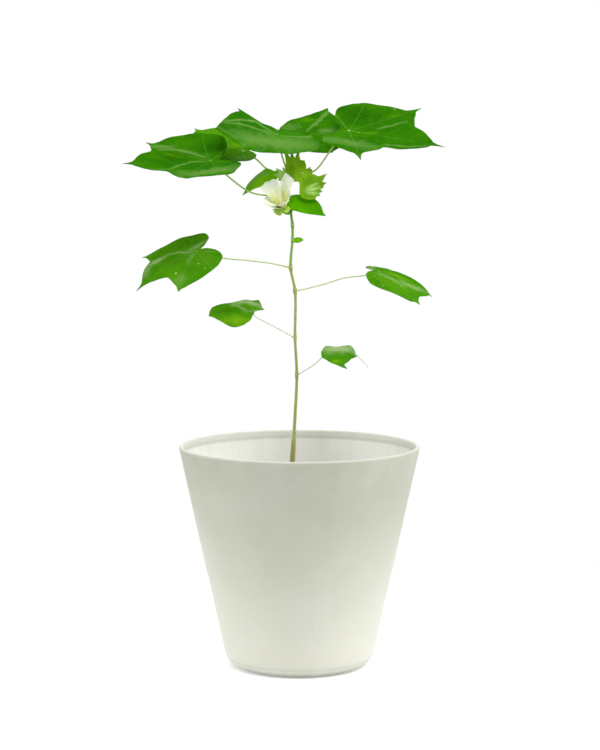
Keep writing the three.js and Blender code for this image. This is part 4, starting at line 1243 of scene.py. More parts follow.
# %% The large leaves of the crown
CROWN_LEAVES = {
    "leaf_left": dict(
        joint=(-101, -40, 587), heading=197, rise=-6, roll=-19, length=100, fold_left=-0.06,
        fold_right=-0.06, droop=-0.05, dip=-0.03, stalk_radius=1.0,
        stalk=[(-13, 3, 543), (-33, 5, 546), (-53, -1, 549.5), (-62, -7, 554), (-74, -16, 563),
               (-83, -25, 571)],
        veins=[-135, -98, -43, 0, 49, 92, 140],
        marks=[
            ("painted_sheen", 3.0, 0.8, [(-74, 12), (-61, 31), (-52, 49), (-37, 61)]),
            ("painted_sheen", 4.0, 0.8, [(-39, 72), (-54, 56)]),
            ("painted_sheen", 2.0, 0.7, [(6, 7), (-4, 21), (15, 41), (27, 60), (22, 91)]),
            ("painted_sheen", 12.0, 0.65, [(48, 64), (68, 50), (97, 40), (112, 42)]),
            ("shade", 9.0, 0.3, [(-79, 38), (-119, 39)]),
            ("shade", 5.0, 0.5, [(-20, 51), (-15, 36)]),
            ("painted_glow", 5.0, 0.4, [(-30, 52), (-28, 36)]),
        ],
        edge=[(0, 91, 10), (14, 90, 0), (24, 86, 0), (32, 71, 0), (49, 79, 2), (66, 72, 0),
              (89, 68, 0), (112, 49, 0), (145, 36, 0), (180, 11, 0), (-142, 30, 0), (-130, 48, 0),
              (-118, 65, 0), (-100, 72, 0), (-81, 70, 0), (-60, 74, 0), (-43, 75, 7),
              (-29, 68, 0), (-17, 78, 0), (-6, 86, 0)],
    ),
    "leaf_back_left": dict(
        joint=(-67, 35, 598), heading=186, rise=0, roll=-24, length=85, stalk_radius=1.0,
        stalk=[(-14, 2.5, 560), (-22, 15, 567), (-33, 22.5, 574.5), (-39, 25, 578), (-51, 30, 589)],
        veins=[-136, -92, -50, 0, 45, 95, 144],
        marks=[
            ("painted_glow", 6.0, 0.6, [(-44, 16), (-93, 19)]),
            ("painted_sheen", 8.0, 0.2, [(75, 26), (127, 22)]),
        ],
        edge=[(0, 78, 6), (27, 56, 0), (45, 50, 2), (65, 34, 0), (101, 29, 0), (124, 25, 0),
              (144, 20, 0), (180, 9, 0), (-138, 25, 0), (-105, 47, 0), (-86, 60, 0),
              (-62, 69, 0), (-50, 74, 7), (-30, 66, 0)],
    ),
    "leaf_centre": dict(
        joint=(-26, -10, 617), heading=191, rise=4, roll=-31, length=80, fold_left=-0.02,
        fold_right=-0.02, dip=-0.03, stalk_radius=1.0,
        stalk=[(-13.4, 1.6, 568.4), (-14.6, 0, 575), (-17, -4, 583), (-21, -8, 596)],
        veins=[-150, -100, -51, 0, 55, 100, 145],
        marks=[
            ("painted_sheen", 1.8, 0.9, [(-13, 62), (-30, 46), (-47, 32), (-39, 7)]),
            ("painted_sheen", 1.8, 0.8, [(-11, 60), (-18, 45), (-20, 29), (35, 3)]),
            ("painted_sheen", 1.8, 0.6, [(-2, 67), (12, 58), (25, 52)]),
            ("painted_sheen", 15.0, 0.6, [(12, 43), (28, 38), (130, 29), (150, 42)]),
            ("painted_sheen", 2.0, 0.7, [(156, 9), (171, 30), (181, 45)]),
            ("painted_sheen", 2.4, 0.5, [(91, 6), (117, 23), (123, 39)]),
            ("shade", 4.0, 0.4, [(-1, 57), (-5, 43)]),
            ("shade", 2.5, 0.4, [(127, 18), (162, 34)]),
        ],
        edge=[(0, 69, 2), (9, 66, 0), (26, 62, 0), (41, 58, 0), (59, 53, 0), (73, 49, 0),
              (91, 45, 0), (117, 46, 0), (142, 53, 0), (160, 51, 0), (174, 43, 0),
              (-172, 38, 0), (-160, 29, 0), (-141, 13, 0), (-102, 10, 0), (-74, 16, 0),
              (-56, 27, 0), (-51, 55, 9), (-40, 59, 0), (-27, 60, 0), (-12, 64, 0)],
    ),
    "leaf_back_right": dict(
        joint=(6, 45, 618), heading=5, rise=-2, roll=33, length=78, fold_right=0.05,
        stalk_radius=1.0,
        stalk=[(-12.5, 3.5, 566), (-8, 14, 577), (-1, 29, 594), (3, 38, 605)],
        veins=[-148, -100, -51, 0, 61, 108, 155],
        marks=[
            ("painted_sheen", 8.0, 0.4, [(153, 23), (127, 17)]),
            ("painted_sheen", 2.0, 0.8, [(61, 8), (56, 29), (58, 59)]),
            ("painted_sheen", 5.0, 0.7, [(18, 21), (11, 38)]),
            ("shade", 4.0, 0.5, [(44, 12), (25, 25)]),
            ("painted_glow", 4.0, 0.6, [(92, 27), (68, 32)]),
        ],
        edge=[(0, 66, 6), (22, 52, 0), (48, 55, 0), (61, 59, 5), (69, 49, 0), (79, 40, 0),
              (94, 34, 0), (118, 31, 0), (141, 29, 0), (168, 30, 0), (-170, 9, 0),
              (-148, 26, 0), (-120, 32, 0), (-103, 34, 0), (-72, 41, 0), (-51, 46, 2),
              (-26, 50, 0)],
    ),
    "leaf_right": dict(
        joint=(57, 0, 621), heading=-25, rise=-8, roll=24, length=114, fold_left=-0.06,
        fold_right=-0.07, droop=-0.03, dip=0.05, stalk_radius=1.0,
        stalk=[(-12.6, 2.5, 562), (-5, 4, 568), (5, 3.5, 570.5), (18, 3, 575.5), (34, -4, 596),
               (43, -6, 608)],
        veins=[-145, -102, -57, 0, 51, 98, 135],
        marks=[
            ("shade", 12.0, 0.5, [(122, 46), (75, 46)]),
            ("painted_sheen", 2.2, 0.7, [(24, 32), (30, 49), (34, 66)]),
            ("painted_sheen", 9.0, 0.6, [(-117, 39), (-78, 33), (-53, 43), (-41, 57)]),
            ("painted_sheen", 2.2, 0.7, [(-26, 61), (-14, 88), (-4, 100)]),
            ("painted_glow", 3.0, 0.5, [(1, 20), (8, 34)]),
            ("painted_glow", 4.0, 0.4, [(57, 52), (54, 64)]),
        ],
        edge=[(0, 104, 14), (8, 94, 0), (16, 84, 0), (23, 75, 0), (34, 76, 0), (45, 82, 0),
              (51, 85, 9), (56, 77, 0), (66, 70, 0), (86, 64, 0), (100, 66, 0), (117, 61, 0),
              (128, 56, 0), (138, 42, 0), (165, 12, 0), (-150, 14, 0), (-115, 40, 0),
              (-85, 52, 0), (-71, 61, 0), (-57, 73, 21), (-48, 69, 0), (-38, 70, 0),
              (-30, 67, 0), (-24, 84, 0), (-16, 95, 0), (-6, 103, 0)],
    ),
}

# %% The smaller leaves along the shoot
LOWER_LEAVES = {
    "leaf_mid_left": dict(
        joint=(-118, -25, 484), heading=198, rise=-19, roll=-23, length=80, fold_right=0.06,
        droop=0.14, dip=0.14, stalk_radius=0.68,
        stalk=[(-12, -0.5, 464.5), (-31, -6, 469), (-60, -12, 473), (-87, -18, 476),
               (-103, -23, 481)],
        veins=[-136, -98, -47, 0, 49, 92, 140],
        marks=[
            ("painted_sheen", 3.5, 0.8, [(-24, 55), (-26, 46), (-30, 38)]),
            ("painted_sheen", 2.0, 0.6, [(-35, 35), (-39, 23), (-18, 5)]),
            ("painted_sheen", 3.5, 0.6, [(-75, 9), (-115, 11), (-133, 21)]),
            ("painted_sheen", 2.5, 0.35, [(45, 7), (40, 21)]),
            ("painted_sheen", 5.0, 0.45, [(-10, 62), (-17, 60), (-25, 53)]),
            ("painted_sheen", 5.0, 0.2, [(47, 55), (47, 45)]),
            ("shade", 7.0, 0.35, [(-1, 31), (15, 24)]),
        ],
        edge=[(0, 70, 9), (8, 62, 0), (18, 53, 0), (25, 50, 0), (43, 59, 0), (49, 64, 4),
              (58, 60, 0), (70, 56, 0), (85, 49, 0), (107, 41, 0), (123, 37, 0), (149, 25, 0),
              (170, 15, 0), (-165, 7, 0), (-146, 21, 0), (-138, 34, 0), (-120, 47, 0),
              (-99, 49, 0), (-72, 49, 0), (-47, 66, 7), (-31, 56, 0), (-20, 62, 0), (-10, 66, 0)],
    ),
    "leaf_low_left": dict(
        joint=(-57, 20, 412), heading=193, rise=1, roll=-24, length=50, fold_right=0.07,
        droop=0.1, dip=0.02, stalk_radius=0.55,
        stalk=[(-7, 1, 383.4), (-18, 6, 389.5), (-31, 11, 396), (-54, 19, 408)],
        veins=[-145, -108, -52, 0, 47, 85, 140],
        marks=[
            ("painted_sheen", 6.0, 0.9, [(-60, 29), (-95, 30), (-140, 21)]),
            ("painted_sheen", 3.0, 0.6, [(-44, 25), (-64, 22)]),
            ("painted_sheen", 2.5, 0.5, [(-55, 21), (-20, 5)]),
            ("painted_sheen", 4.0, 0.45, [(-157, 4), (-171, 12)]),
            ("painted_glow", 10.0, 0.8, [(35, 34), (60, 22)]),
            ("shade", 4.0, 0.4, [(-7, 38), (-15, 22)]),
        ],
        edge=[(0, 48, 1), (12, 45, 0), (25, 43, 0), (47, 42, 0), (58, 38, 0), (74, 25, 0),
              (97, 9, 0), (150, 5, 0), (180, 5, 0), (-166, 7, 0), (-162, 18, 1), (-148, 19.6, 0),
              (-135, 23.6, 0), (-122, 32, 0), (-114, 39, 1), (-95, 36, 0), (-72, 32, 0),
              (-52, 35, 0), (-20, 45, 1)],
    ),
    "leaf_mid_right": dict(
        joint=(93, 25, 458), heading=10, rise=-13, roll=17, length=70, fold_left=0.05,
        fold_right=0.05, droop=0.15, dip=0.08, stalk_radius=0.68,
        stalk=[(-3, 0.5, 437.6), (8, 4, 439.5), (31, 12, 445), (52, 18, 451), (77, 23, 454)],
        veins=[-135, -92, -47, 0, 46, 90, 140],
        marks=[
            ("painted_sheen", 3.5, 0.4, [(-87, 7), (-45, 18), (-39, 33)]),
            ("painted_glow", 3.0, 0.7, [(18, 14), (8, 34)]),
            ("painted_sheen", 6.0, 0.5, [(-25, 31), (-18, 45), (-2, 57)]),
            ("painted_sheen", 4.0, 0.6, [(120, 12), (160, 12)]),
            ("shade", 2.5, 0.5, [(-31, 8), (-18, 23)]),
            ("shade", 5.0, 0.3, [(-110, 31), (-92, 34)]),
        ],
        edge=[(0, 65, 5), (22, 58, 0), (46, 43, 0), (80, 22, 0), (130, 18, 0), (160, 17, 0),
              (180, 7, 0), (-133, 27, 0), (-112, 39, 0), (-84, 48, 0), (-62, 57, 0),
              (-47, 62, 5), (-35, 57, 0), (-18, 61, 0)],
    ),
    "leaf_low_right": dict(
        joint=(29, -20, 365), heading=7, rise=-11, roll=26, length=40, fold_right=-0.04,
        dip=-0.1, stalk_radius=0.55,
        stalk=[(-1.5, -0.5, 340.8), (4, -4, 344.2), (17, -12, 353.2)],
        veins=[-140, -95, -48, 0, 41, 80, 130],
        dry_tip=[(64, -14.3, 364.6, 0.5), (66.7, -15, 363.2, 0.5), (70.1, -15, 360.1, 0.45),
                 (74.3, -15, 356.2, 0.4), (77.3, -15, 352.6, 0.35), (79.4, -15, 348.7, 0.3)],
        marks=[
            ("painted_sheen", 8.5, 1.0, [(83, 14), (46, 26), (28, 38)]),
            ("painted_sheen", 3.0, 0.6, [(25, 37), (7, 37)]),
            ("painted_glow", 3.0, 0.7, [(-53, 16), (-30, 19)]),
        ],
        edge=[(-6, 30.5, 0), (6, 36, 3), (21, 37.5, 0), (39, 39.5, 0), (48, 34, 0), (60, 25.5, 0),
              (73, 22, 0), (82, 20.5, 0), (100, 12, 0), (122, 7, 0), (180, 4, 0), (-95, 9, 0),
              (-58, 22, 0), (-48, 30, 7), (-36, 28, 0), (-20, 29, 0)],
    ),
}

# %% The young leaves beside the flower
YOUNG_LEAVES = {
    "young_leaf_left": dict(
        joint=(-27, 4, 573), heading=176, rise=-30, roll=-38, length=48, fold_left=0.25,
        fold_right=0.12, droop=0.08, stalk_radius=0.75,
        stalk=[(-13, 2, 562.5), (-19, 3, 571)],
        veins=[-130, -90, -50, 0, 40, 80, 130],
        marks=[
            ("painted_sheen", 5.0, 0.7, [(-13, 35), (-35, 26), (-44, 13)]),
            ("painted_glow", 14.0, 1.0, [(-4, 32), (20, 12)]),
        ],
        edge=[(0, 42, 5), (8, 31, 0), (24, 21, 0), (53, 12, 0), (110, 7, 0), (180, 3, 0),
              (-110, 3.5, 0), (-76, 5, 0), (-65, 21, 0), (-50, 25, 0), (-30, 31, 0),
              (-14, 38, 0)],
    ),
    "young_leaf_right": dict(
        joint=(-11, -5.5, 539.5), heading=-12, rise=-14, roll=58, length=47, fold_left=0.05,
        fold_right=0.05, droop=0.16, stalk_radius=0.75,
        stalk=[(-11.5, -0.5, 537)],
        veins=[-140, -90, -45, -3, 38, 80, 130],
        edge=[(-3, 40, 4), (10, 36.5, 0), (26, 29.5, 0), (38, 23.5, 0), (56, 16, 0), (105, 8, 0),
              (150, 5, 0), (180, 4, 0), (-154, 4, 0), (-90, 8, 0), (-43, 13, 0), (-26, 20, 0),
              (-12, 31, 0)],
    ),
}

# %% [markdown]
# A leaf is its blade, its stalk, and seven ribs that carry on from the stalk under the blade. The
# ribs are rods laid along the veins, half sunk into the underside, which is what makes the back of a
# leaf look built rather than cut out.

# %% Build the leaves
RIB_STEPS = 14
RIB_RADIUS = 0.0062
RIB_REACH = 0.92
MIDRIB = 3
COLUMN_STEP = 2.0


def rib_lines(leaf):
    """Lines just under the blade, along its veins."""
    place = leaf_frame(leaf)
    lines = []
    for order, vein in enumerate(leaf["veins"]):
        edge = edge_distance(leaf, vein)
        thick = RIB_RADIUS * leaf["length"] * (1.0 if order == MIDRIB else 0.8)
        line = []
        for step in range(RIB_STEPS + 1):
            share = RIB_REACH * step / RIB_STEPS
            distance = edge * share
            point = blade_point(leaf, vein, distance)
            sunk = quilting(even_angle(leaf, vein), distance / leaf["length"], share)
            radius = thick * (1.0 - share) + 0.08
            point.z += leaf["length"] * sunk - BLADE_THICKNESS / 2 - radius * 0.4
            line.append((place @ point, radius))
        lines.append(line)
    return lines


def stalk_rod(leaf):
    """The stalk from inside the shoot to the joint, thicker at both ends."""
    radius = leaf["stalk_radius"]
    route = [(*point, radius) for point in list(leaf["stalk"]) + [leaf["joint"]]]
    line = []
    points = smooth_line(route, 12)
    for i, (centre, own) in enumerate(points):
        share = i / (len(points) - 1)
        foot = 0.55 * math.exp(-((share / 0.06) ** 2))
        head = 0.30 * math.exp(-(((1.0 - share) / 0.05) ** 2))
        line.append((centre, own * (1.0 + foot + head)))
    part = rod(line, 12)
    part.data.materials.append(stalk_green)
    return part


def grown_leaf(name, leaf, rings, finishes, slot):
    """Builds one leaf with its stalk, its ribs and any dried thread at its tip."""
    parts = [wrapped_blade(leaf, rings, COLUMN_STEP, finishes), stalk_rod(leaf)]
    for line in rib_lines(leaf):
        rib = rod(line, 8)
        rib.data.materials.append(finishes[1])
        parts.append(rib)
    if "dry_tip" in leaf:
        thread = rod(smooth_line(leaf["dry_tip"], 8), 8)
        thread.data.materials.append(stalk_green)
        parts.append(thread)
    for part in parts[1:]:
        smooth(part, 60.0)
    tie(joined(parts), name + "_blade", slot, name)


for name, leaf in CROWN_LEAVES.items():
    # The back left leaf lies in the shade of the leaves above it, so it takes the paler fresh finish:
    # painted light.
    own_top = fresh_top if name == "leaf_back_left" else old_top
    grown_leaf(name, leaf, 40, (own_top, old_under), "leaf")
for name, leaf in LOWER_LEAVES.items():
    grown_leaf(name, leaf, 30, (fresh_top, old_under), "leaf")
for name, leaf in YOUNG_LEAVES.items():
    grown_leaf(name, leaf, 18, (young_top, young_under), "young_leaf")

# %% [markdown]
# The small stipule on the shoot is a blade too, so the same fan makes it, and it is joined to the
# shoot with the two branches.

# %% Finish the shoot
STIPULE = dict(
    joint=(-7.6, 0, 495.6), heading=-6, rise=2, roll=50, length=12, veins=VEIN_ANGLES,
    edge=[(0, 12.2, 0), (25, 8.4, 0), (60, 3.6, 0), (120, 1.6, 0), (180, 1.4, 0), (-120, 1.6, 0),
          (-60, 3.6, 0), (-25, 8.4, 0)],
    marks=[("painted_glow", 2.5, 0.9, [(0, 4), (0, 9)])],
)

stipule = wrapped_blade(STIPULE, 8, 12.0, (young_top, young_under))
for part in [shoot] + branches:
    part.data.materials.append(bark_green)
    smooth(part, 60.0)
shoot = joined([shoot] + branches + [stipule])
tie(shoot, "shoot", "stem", "stem")

# %% [markdown]
# ## The open flower
#
# Five petals overlap like a fan of cards round a short cup. Each is wide and thin, flares outwards as
# it rises, and is cut off aslant at the top, with one peak. So it too is a grid, bent round the
# flower's axis. Each petal has its own turn, height, spread and half width, the place of its peak
# from -1 to 1, and how steeply the top edge falls towards its left and its right from there. A
# negative fall means that the edge rises.

# %% A frame along the flower's axis
FLOWER_AXIS = Vector((-0.12, -0.6, 0.79)).normalized()
BUD_AXIS = Vector((0.05, 0.08, 0.98)).normalized()
CALYX_HEIGHT = 3.0
FLOWER_GAP = 0.3


def axis_frame(base, axis, lift):
    """Z along the axis and Y as near straight up as it can be, lift mm above the base."""
    side = Vector((0.0, 0.0, 1.0)).cross(axis).normalized()
    up = axis.cross(side)
    turn = Matrix((side, up, axis)).transposed().to_4x4()
    return Matrix.Translation((base + axis * lift) * MM) @ turn


# %% Petals
PETAL_ROWS = 26
PETAL_COLUMNS = 30
PETAL_THICKNESS = 0.35
PETALS = [
    (-16, 30.5, 19.5, 31, 0.2, 0.65, 0.16), (-89, 16.1, 6.4, 39, 1.0, 0.0, 0.28),
    (-189, 22.0, 17.9, 34, 1.0, 0.0, 0.15), (119, 11.6, 16.8, 60, 0.0, -0.6, 0.2),
    (50, 25.5, 16.9, 39, -0.7, 0.0, 0.45),
]


def petal_point(petal, u, v):
    """A place of a petal in the flower's frame, for u from -1 to 1 across and v from 0 to 1 up."""
    turn, height, spread, half_angle, peak, fall_left, fall_right = petal
    angle = math.radians(90 + turn + u * half_angle * (0.85 + 0.75 * (1 - v) ** 1.5))
    frill = 0.4 * math.sin(9.0 * u + turn) * v ** 4
    vein = -0.12 * math.cos(u * 9 * math.pi) * v
    radius = 3.8 + spread * v ** 1.2 + 1.5 * u * math.sqrt(v) + frill + vein
    slant = fall_left * max(0.0, u - peak) + fall_right * max(0.0, peak - u)
    rise = height * v * (1 - v * v * slant) + 0.4 * math.sin(7 * u) * v ** 3
    return Vector((radius * math.cos(angle), radius * math.sin(angle), rise))


def bent_petal(petal, finish):
    bpy.ops.object.select_all(action="DESELECT")
    bpy.ops.mesh.primitive_grid_add(x_subdivisions=PETAL_COLUMNS, y_subdivisions=PETAL_ROWS)
    part = bpy.context.object
    part.data.uv_layers[0].name = "petal"
    for row in range(PETAL_ROWS + 1):
        for column in range(PETAL_COLUMNS + 1):
            u = 2 * column / PETAL_COLUMNS - 1
            spot = petal_point(petal, u, row / PETAL_ROWS)
            part.data.vertices[row * (PETAL_COLUMNS + 1) + column].co = spot * MM
    part.data.materials.append(finish)
    apply_modifier(part, "SOLIDIFY", thickness=PETAL_THICKNESS * MM, offset=0.0, use_rim=True)
    smooth(part, 60.0)
    return part


def small_cup(profile, sides, finish):
    """A small raised form with its finish, for the cups at the foot of the flower and the bud."""
    form = raised_form(profile, sides)
    form.data.materials.append(finish)
    smooth(form, 50.0)
    return form


# %% [markdown]
# A petal is cream, greener and yellower in the throat, with fine lines that fan out from its foot and
# a faint pink cast along its top edge.

# %% Mix the petals and join the flower
CREAM = ((0.80, 0.88, 0.64), (0.88, 0.93, 0.78))
THROAT = (0.72, 0.76, 0.25)
PETAL_VEIN = (0.66, 0.76, 0.48)
PETAL_LINES = 17.0
PINK_EDGE = (0.80, 0.76, 0.80)


def petal_finish():
    petal = Finish("petal_cream", Specular_IOR_Level=0.25)
    place = petal.place()
    across, up = petal.split(petal.node("ShaderNodeUVMap", {"uv_map": "petal"}))[:2]
    clouds = petal.cloud(place, 120.0, 3.0, 0.55)
    tint = petal.blend(petal.ramp(clouds, 0.35, 0.65), *CREAM)
    throat = 1.0 - petal.ramp(up + clouds * 0.15, 0.32, 0.76)
    tint = petal.blend(throat, tint, THROAT)
    wander = (petal.cloud(place, 160.0, 2.0, 0.5) - 0.5) * 0.08
    lines = ((across + wander * up) * PETAL_LINES) % 1.0
    vein = (1.0 - petal.ramp(0.5 - abs(lines - 0.5), 0.05, 0.2)) * 0.30
    tint = petal.blend(vein, tint, PETAL_VEIN)
    edge = petal.ramp(up, 0.86, 1.0) * petal.ramp(clouds, 0.4, 0.7) * 0.5
    tint = petal.blend(edge, tint, PINK_EDGE)
    petal.colour(tint)
    petal.roughness(0.55 + clouds * 0.15)
    petal.relief(1.0 - vein * 3.0 + clouds * 0.4, 0.0003, 0.7)
    return petal.material


petal_cream = petal_finish()
cup = small_cup([(1, 0), (4.2, 0), (4.6, 2.5), (3.2, 3.6), (1, 3.6)], 32, petal_cream)
corolla = joined([cup] + [bent_petal(petal, petal_cream) for petal in PETALS])
corolla.data.transform(axis_frame(FLOWER_BASE, FLOWER_AXIS, 2 * FLOWER_GAP + CALYX_HEIGHT))
tie(corolla, "petals", "petal", "corolla")

# %% [markdown]
# The stamens are grown together into one column, set all round with small anthers on short threads.
# One anther with its thread is modelled, and its copies climb the column by the golden angle, the way
# that plants space what grows round a stalk.

# %% Stamen column
CUP_HEIGHT = 3.6
COLUMN_HEIGHT = 15.0
STAMEN_LIFT = 2 * FLOWER_GAP + CALYX_HEIGHT + CUP_HEIGHT + FLOWER_GAP
ANTHERS = 56
ANTHER_RADIUS = 0.62
GOLDEN_TURN = math.radians(137.5)
POLLEN = ((0.86, 0.86, 0.50), (0.95, 0.95, 0.72))


def pollen_finish():
    pollen = Finish("pollen", Specular_IOR_Level=0.2)
    place = pollen.place()
    grains = pollen.cells(place, 2600.0)
    clouds = pollen.cloud(place, 300.0, 2.0, 0.5)
    pollen.colour(pollen.blend(clouds, *POLLEN))
    pollen.roughness(0.75 + grains * 0.2)
    pollen.relief(grains, 0.00025, 0.9)
    return pollen.material


def anther_model(finish):
    """One kidney-shaped anther on its thread."""
    bpy.ops.object.select_all(action="DESELECT")
    bpy.ops.mesh.primitive_uv_sphere_add(segments=8, ring_count=5, radius=ANTHER_RADIUS * MM)
    bead = bpy.context.object
    for vertex in bead.data.vertices:
        bend = (vertex.co.y / MM) ** 2
        vertex.co.x += 0.35 * bend * MM
        vertex.co.z *= 0.75
    thread = rod([(Vector((-1.4, 0, 0)), 0.16), (Vector((0, 0, 0)), 0.12)], 4)
    model = joined([bead, thread])
    model.data.materials.append(finish)
    return model


pollen_yellow = pollen_finish()
anther = anther_model(pollen_yellow)
column = rod([(Vector((0, 0, z)), r) for z, r in ((0, 1.3), (5, 1.15), (15, 0.9), (17, 0.7))], 16)
style = rod([(Vector((0, 0, z)), r) for z, r in ((16, 0.6), (19.5, 0.7), (20.4, 0.5))], 12)
parts = [column, style]
for part in parts:
    part.data.materials.append(pollen_yellow)
for number in range(ANTHERS):
    share = number / (ANTHERS - 1)
    height = 3.5 + (COLUMN_HEIGHT - 3.0) * share
    reach = 2.4 - 0.6 * share
    copy = copied(anther)
    turn = Matrix.Rotation(number * GOLDEN_TURN, 4, "Z")
    copy.data.transform(turn @ Matrix.Translation((reach * MM, 0.0, height * MM)))
    parts.append(copy)
bpy.data.objects.remove(anther)
stamens = joined(parts)
smooth(stamens, 60.0)
stamens.data.transform(axis_frame(FLOWER_BASE, FLOWER_AXIS, STAMEN_LIFT))
tie(stamens, "stamens", "pollen", "stamen_column")

# %% [markdown]
# ## Bracts and bud
#
# Round each flower and bud stand bracts: small cupped leaves whose outer edge is cut into long teeth.
# They are fans as well, with an edge that runs from tooth to tooth, and they take the leaf's finish
# in brighter greens. Where a bract shows clearly its edge is given point by point, and elsewhere one
# function spaces the teeth evenly over the fan.

# %% Toothed edges
BRACT_FAN = 66.0
BRACT_VEINS = [-150, -105, -50, 0, 50, 105, 150]
BRACT_COLUMN_STEP = 5.0


def bract_edge(length, width, teeth, tooth_length):
    """An edge with evenly spaced teeth, longest in the middle of the fan."""
    edge = [(180, 2.2, 0), (110, width * 0.2, 0), (-110, width * 0.2, 0)]
    for tooth in range(teeth):
        share = 2.0 * tooth / (teeth - 1) - 1.0
        angle = share * BRACT_FAN
        drop = abs(share) ** 1.3
        reach = length + (width * 0.62 - length) * drop
        shorter = 1 - 0.5 * abs(share)
        edge.append((angle, reach + 0.35 * tooth_length * shorter, 0.65 * tooth_length * shorter))
        if tooth < teeth - 1:
            edge.append((angle + BRACT_FAN / (teeth - 1), reach * 0.86, 0))
    return edge


bract_green = leaf_top(
    "bract_green", dark=(0.13, 0.33, 0.006), light=(0.24, 0.50, 0.012), vein=(0.40, 0.66, 0.10),
    sheen=(0.50, 0.78, 0.22), glow_colour=(0.30, 0.60, 0.02),
)
calyx_green = leaf_top(
    "calyx_green", dark=(0.28, 0.50, 0.03), light=(0.45, 0.68, 0.10), vein=(0.62, 0.80, 0.28),
    sheen=(0.66, 0.85, 0.36), glow_colour=(0.45, 0.68, 0.06),
)

# %% Bracts and cup under the open flower
FLOWER_BRACTS = [
    ((-0.5, -5.5, -1.6), 184, 0, -66, 10.5), ((3.0, -2.5, -0.6), -20, -8, 50, 7),
    ((-0.5, 2.5, 2.0), 100, 30, 0, 9),
]
flower_parts = []
for offset, heading, rise, roll, length in FLOWER_BRACTS:
    bract = dict(
        joint=tuple(FLOWER_BASE + Vector(offset)), heading=heading, rise=rise, roll=roll,
        length=length, droop=-0.2, veins=BRACT_VEINS,
        edge=bract_edge(length - 1, length + 1, 7, 0.12 * length),
    )
    finishes = (calyx_green, bract_green)
    flower_parts.append(wrapped_blade(bract, 14, BRACT_COLUMN_STEP, finishes))
calyx_profile = [(1, 0), (2.6, 0), (4.2, 0.9), (4.6, 1.8), (4.55, 2.9), (4.1, 3.0), (1, 2.6)]
calyx = small_cup(calyx_profile, 30, bract_green)
calyx.data.transform(axis_frame(FLOWER_BASE, FLOWER_AXIS, FLOWER_GAP))
flower_bracts = joined(flower_parts + [calyx])
tie(flower_bracts, "flower_bract_ring", "bract", "flower_bracts")

# %% Bracts and cup round the bud
BUD_CALYX_HEIGHT = 2.4
BUD_BRACTS = [
    dict(joint=(-3.4, -10, 565.5), heading=2, rise=-3, roll=80, length=30, droop=0.06,
         marks=[("shade", 4.0, 0.5, [(140, 6), (120, 14)]), ("painted_glow", 5.0, 0.5, [(30, 12), (60, 12)])],
         edge=[(-25, 6, 0), (10, 23, 0), (25, 19, 0), (36, 20, 2), (45, 16.5, 0), (62, 19.5, 0),
               (70, 22, 2), (80, 23, 0), (90, 29, 3), (97, 25, 0), (103, 33, 2), (108, 26, 0),
               (114, 34, 3), (122, 25, 0), (132, 19.5, 0), (150, 15.5, 0), (180, 10, 0),
               (-150, 5, 0), (-90, 2.5, 0)]),
    dict(joint=(4.6, -11.5, 551.4), heading=-3, rise=2, roll=97, length=27, droop=0.05,
         marks=[("painted_sheen", 1.9, 0.8, [(38, 6), (30, 18)]), ("painted_sheen", 2.1, 0.9, [(15, 5), (12, 18)]),
                ("painted_sheen", 1.7, 0.7, [(-12, 5), (-9, 16)]), ("shade", 3.0, 0.4, [(80, 10), (62, 17)])],
         edge=[(103, 17, 0), (92, 15.5, 0), (82, 11.5, 0), (75, 11.5, 0), (68, 21, 0), (60, 23, 0),
               (49, 24, 0), (42, 24.5, 0), (36, 25, 9), (30, 26, 0), (25, 24, 0), (20, 26.5, 2),
               (15, 22.5, 0), (11, 22, 2), (4, 18.5, 0), (-1, 20, 2), (-8, 17, 0), (-14, 18, 2),
               (-22, 15.5, 0), (-32, 15, 1), (-58, 11, 0), (-100, 7, 0), (-153, 5, 0),
               (166, 4.6, 0), (120, 8, 0)]),
    dict(joint=(4, -2.5, 566), heading=60, rise=72, roll=0, length=17, droop=-0.1,
         edge=bract_edge(17, 15, 5, 3)),
    dict(joint=(-12.5, -2, 568.5), heading=181, rise=20, roll=-80, length=16, droop=0.05,
         marks=[("painted_sheen", 7.0, 1.0, [(-20, 12), (20, 12)])], edge=bract_edge(14, 9, 6, 5)),
]
bud_parts = []
for bract in BUD_BRACTS:
    bract["veins"] = BRACT_VEINS
    bud_parts.append(wrapped_blade(bract, 16, BRACT_COLUMN_STEP, (bract_green, bract_green)))
bud_calyx_profile = [(1, 0), (2.2, 0), (4.2, 0.7), (4.8, 1.4), (4.6, 2.3), (1, BUD_CALYX_HEIGHT)]
bud_calyx = small_cup(bud_calyx_profile, 30, bract_green)
bud_calyx.data.transform(axis_frame(BUD_BASE, BUD_AXIS, FLOWER_GAP))
bud_bracts = joined(bud_parts + [bud_calyx])
tie(bud_bracts, "bud_bract_ring", "bract", "bud_bracts")

# %% [markdown]
# The bud is a roll of unopened petals: raised ring by ring, then twisted, so that five soft ridges
# wind up to its tip.

# %% Bud
BUD_CREAM = ((0.42, 0.55, 0.20), (0.72, 0.78, 0.50))
RIDGE_DEPTH = 0.12
RIDGE_TWIST = 0.22


def bud_finish():
    bud_cream = Finish("bud_petals", Specular_IOR_Level=0.25)
    clouds = bud_cream.cloud(bud_cream.place(), 260.0, 3.0, 0.55)
    bud_cream.colour(bud_cream.blend(bud_cream.ramp(clouds, 0.3, 0.7), *BUD_CREAM))
    bud_cream.roughness(0.55 + clouds * 0.15)
    bud_cream.relief(clouds, 0.0002, 0.6)
    return bud_cream.material


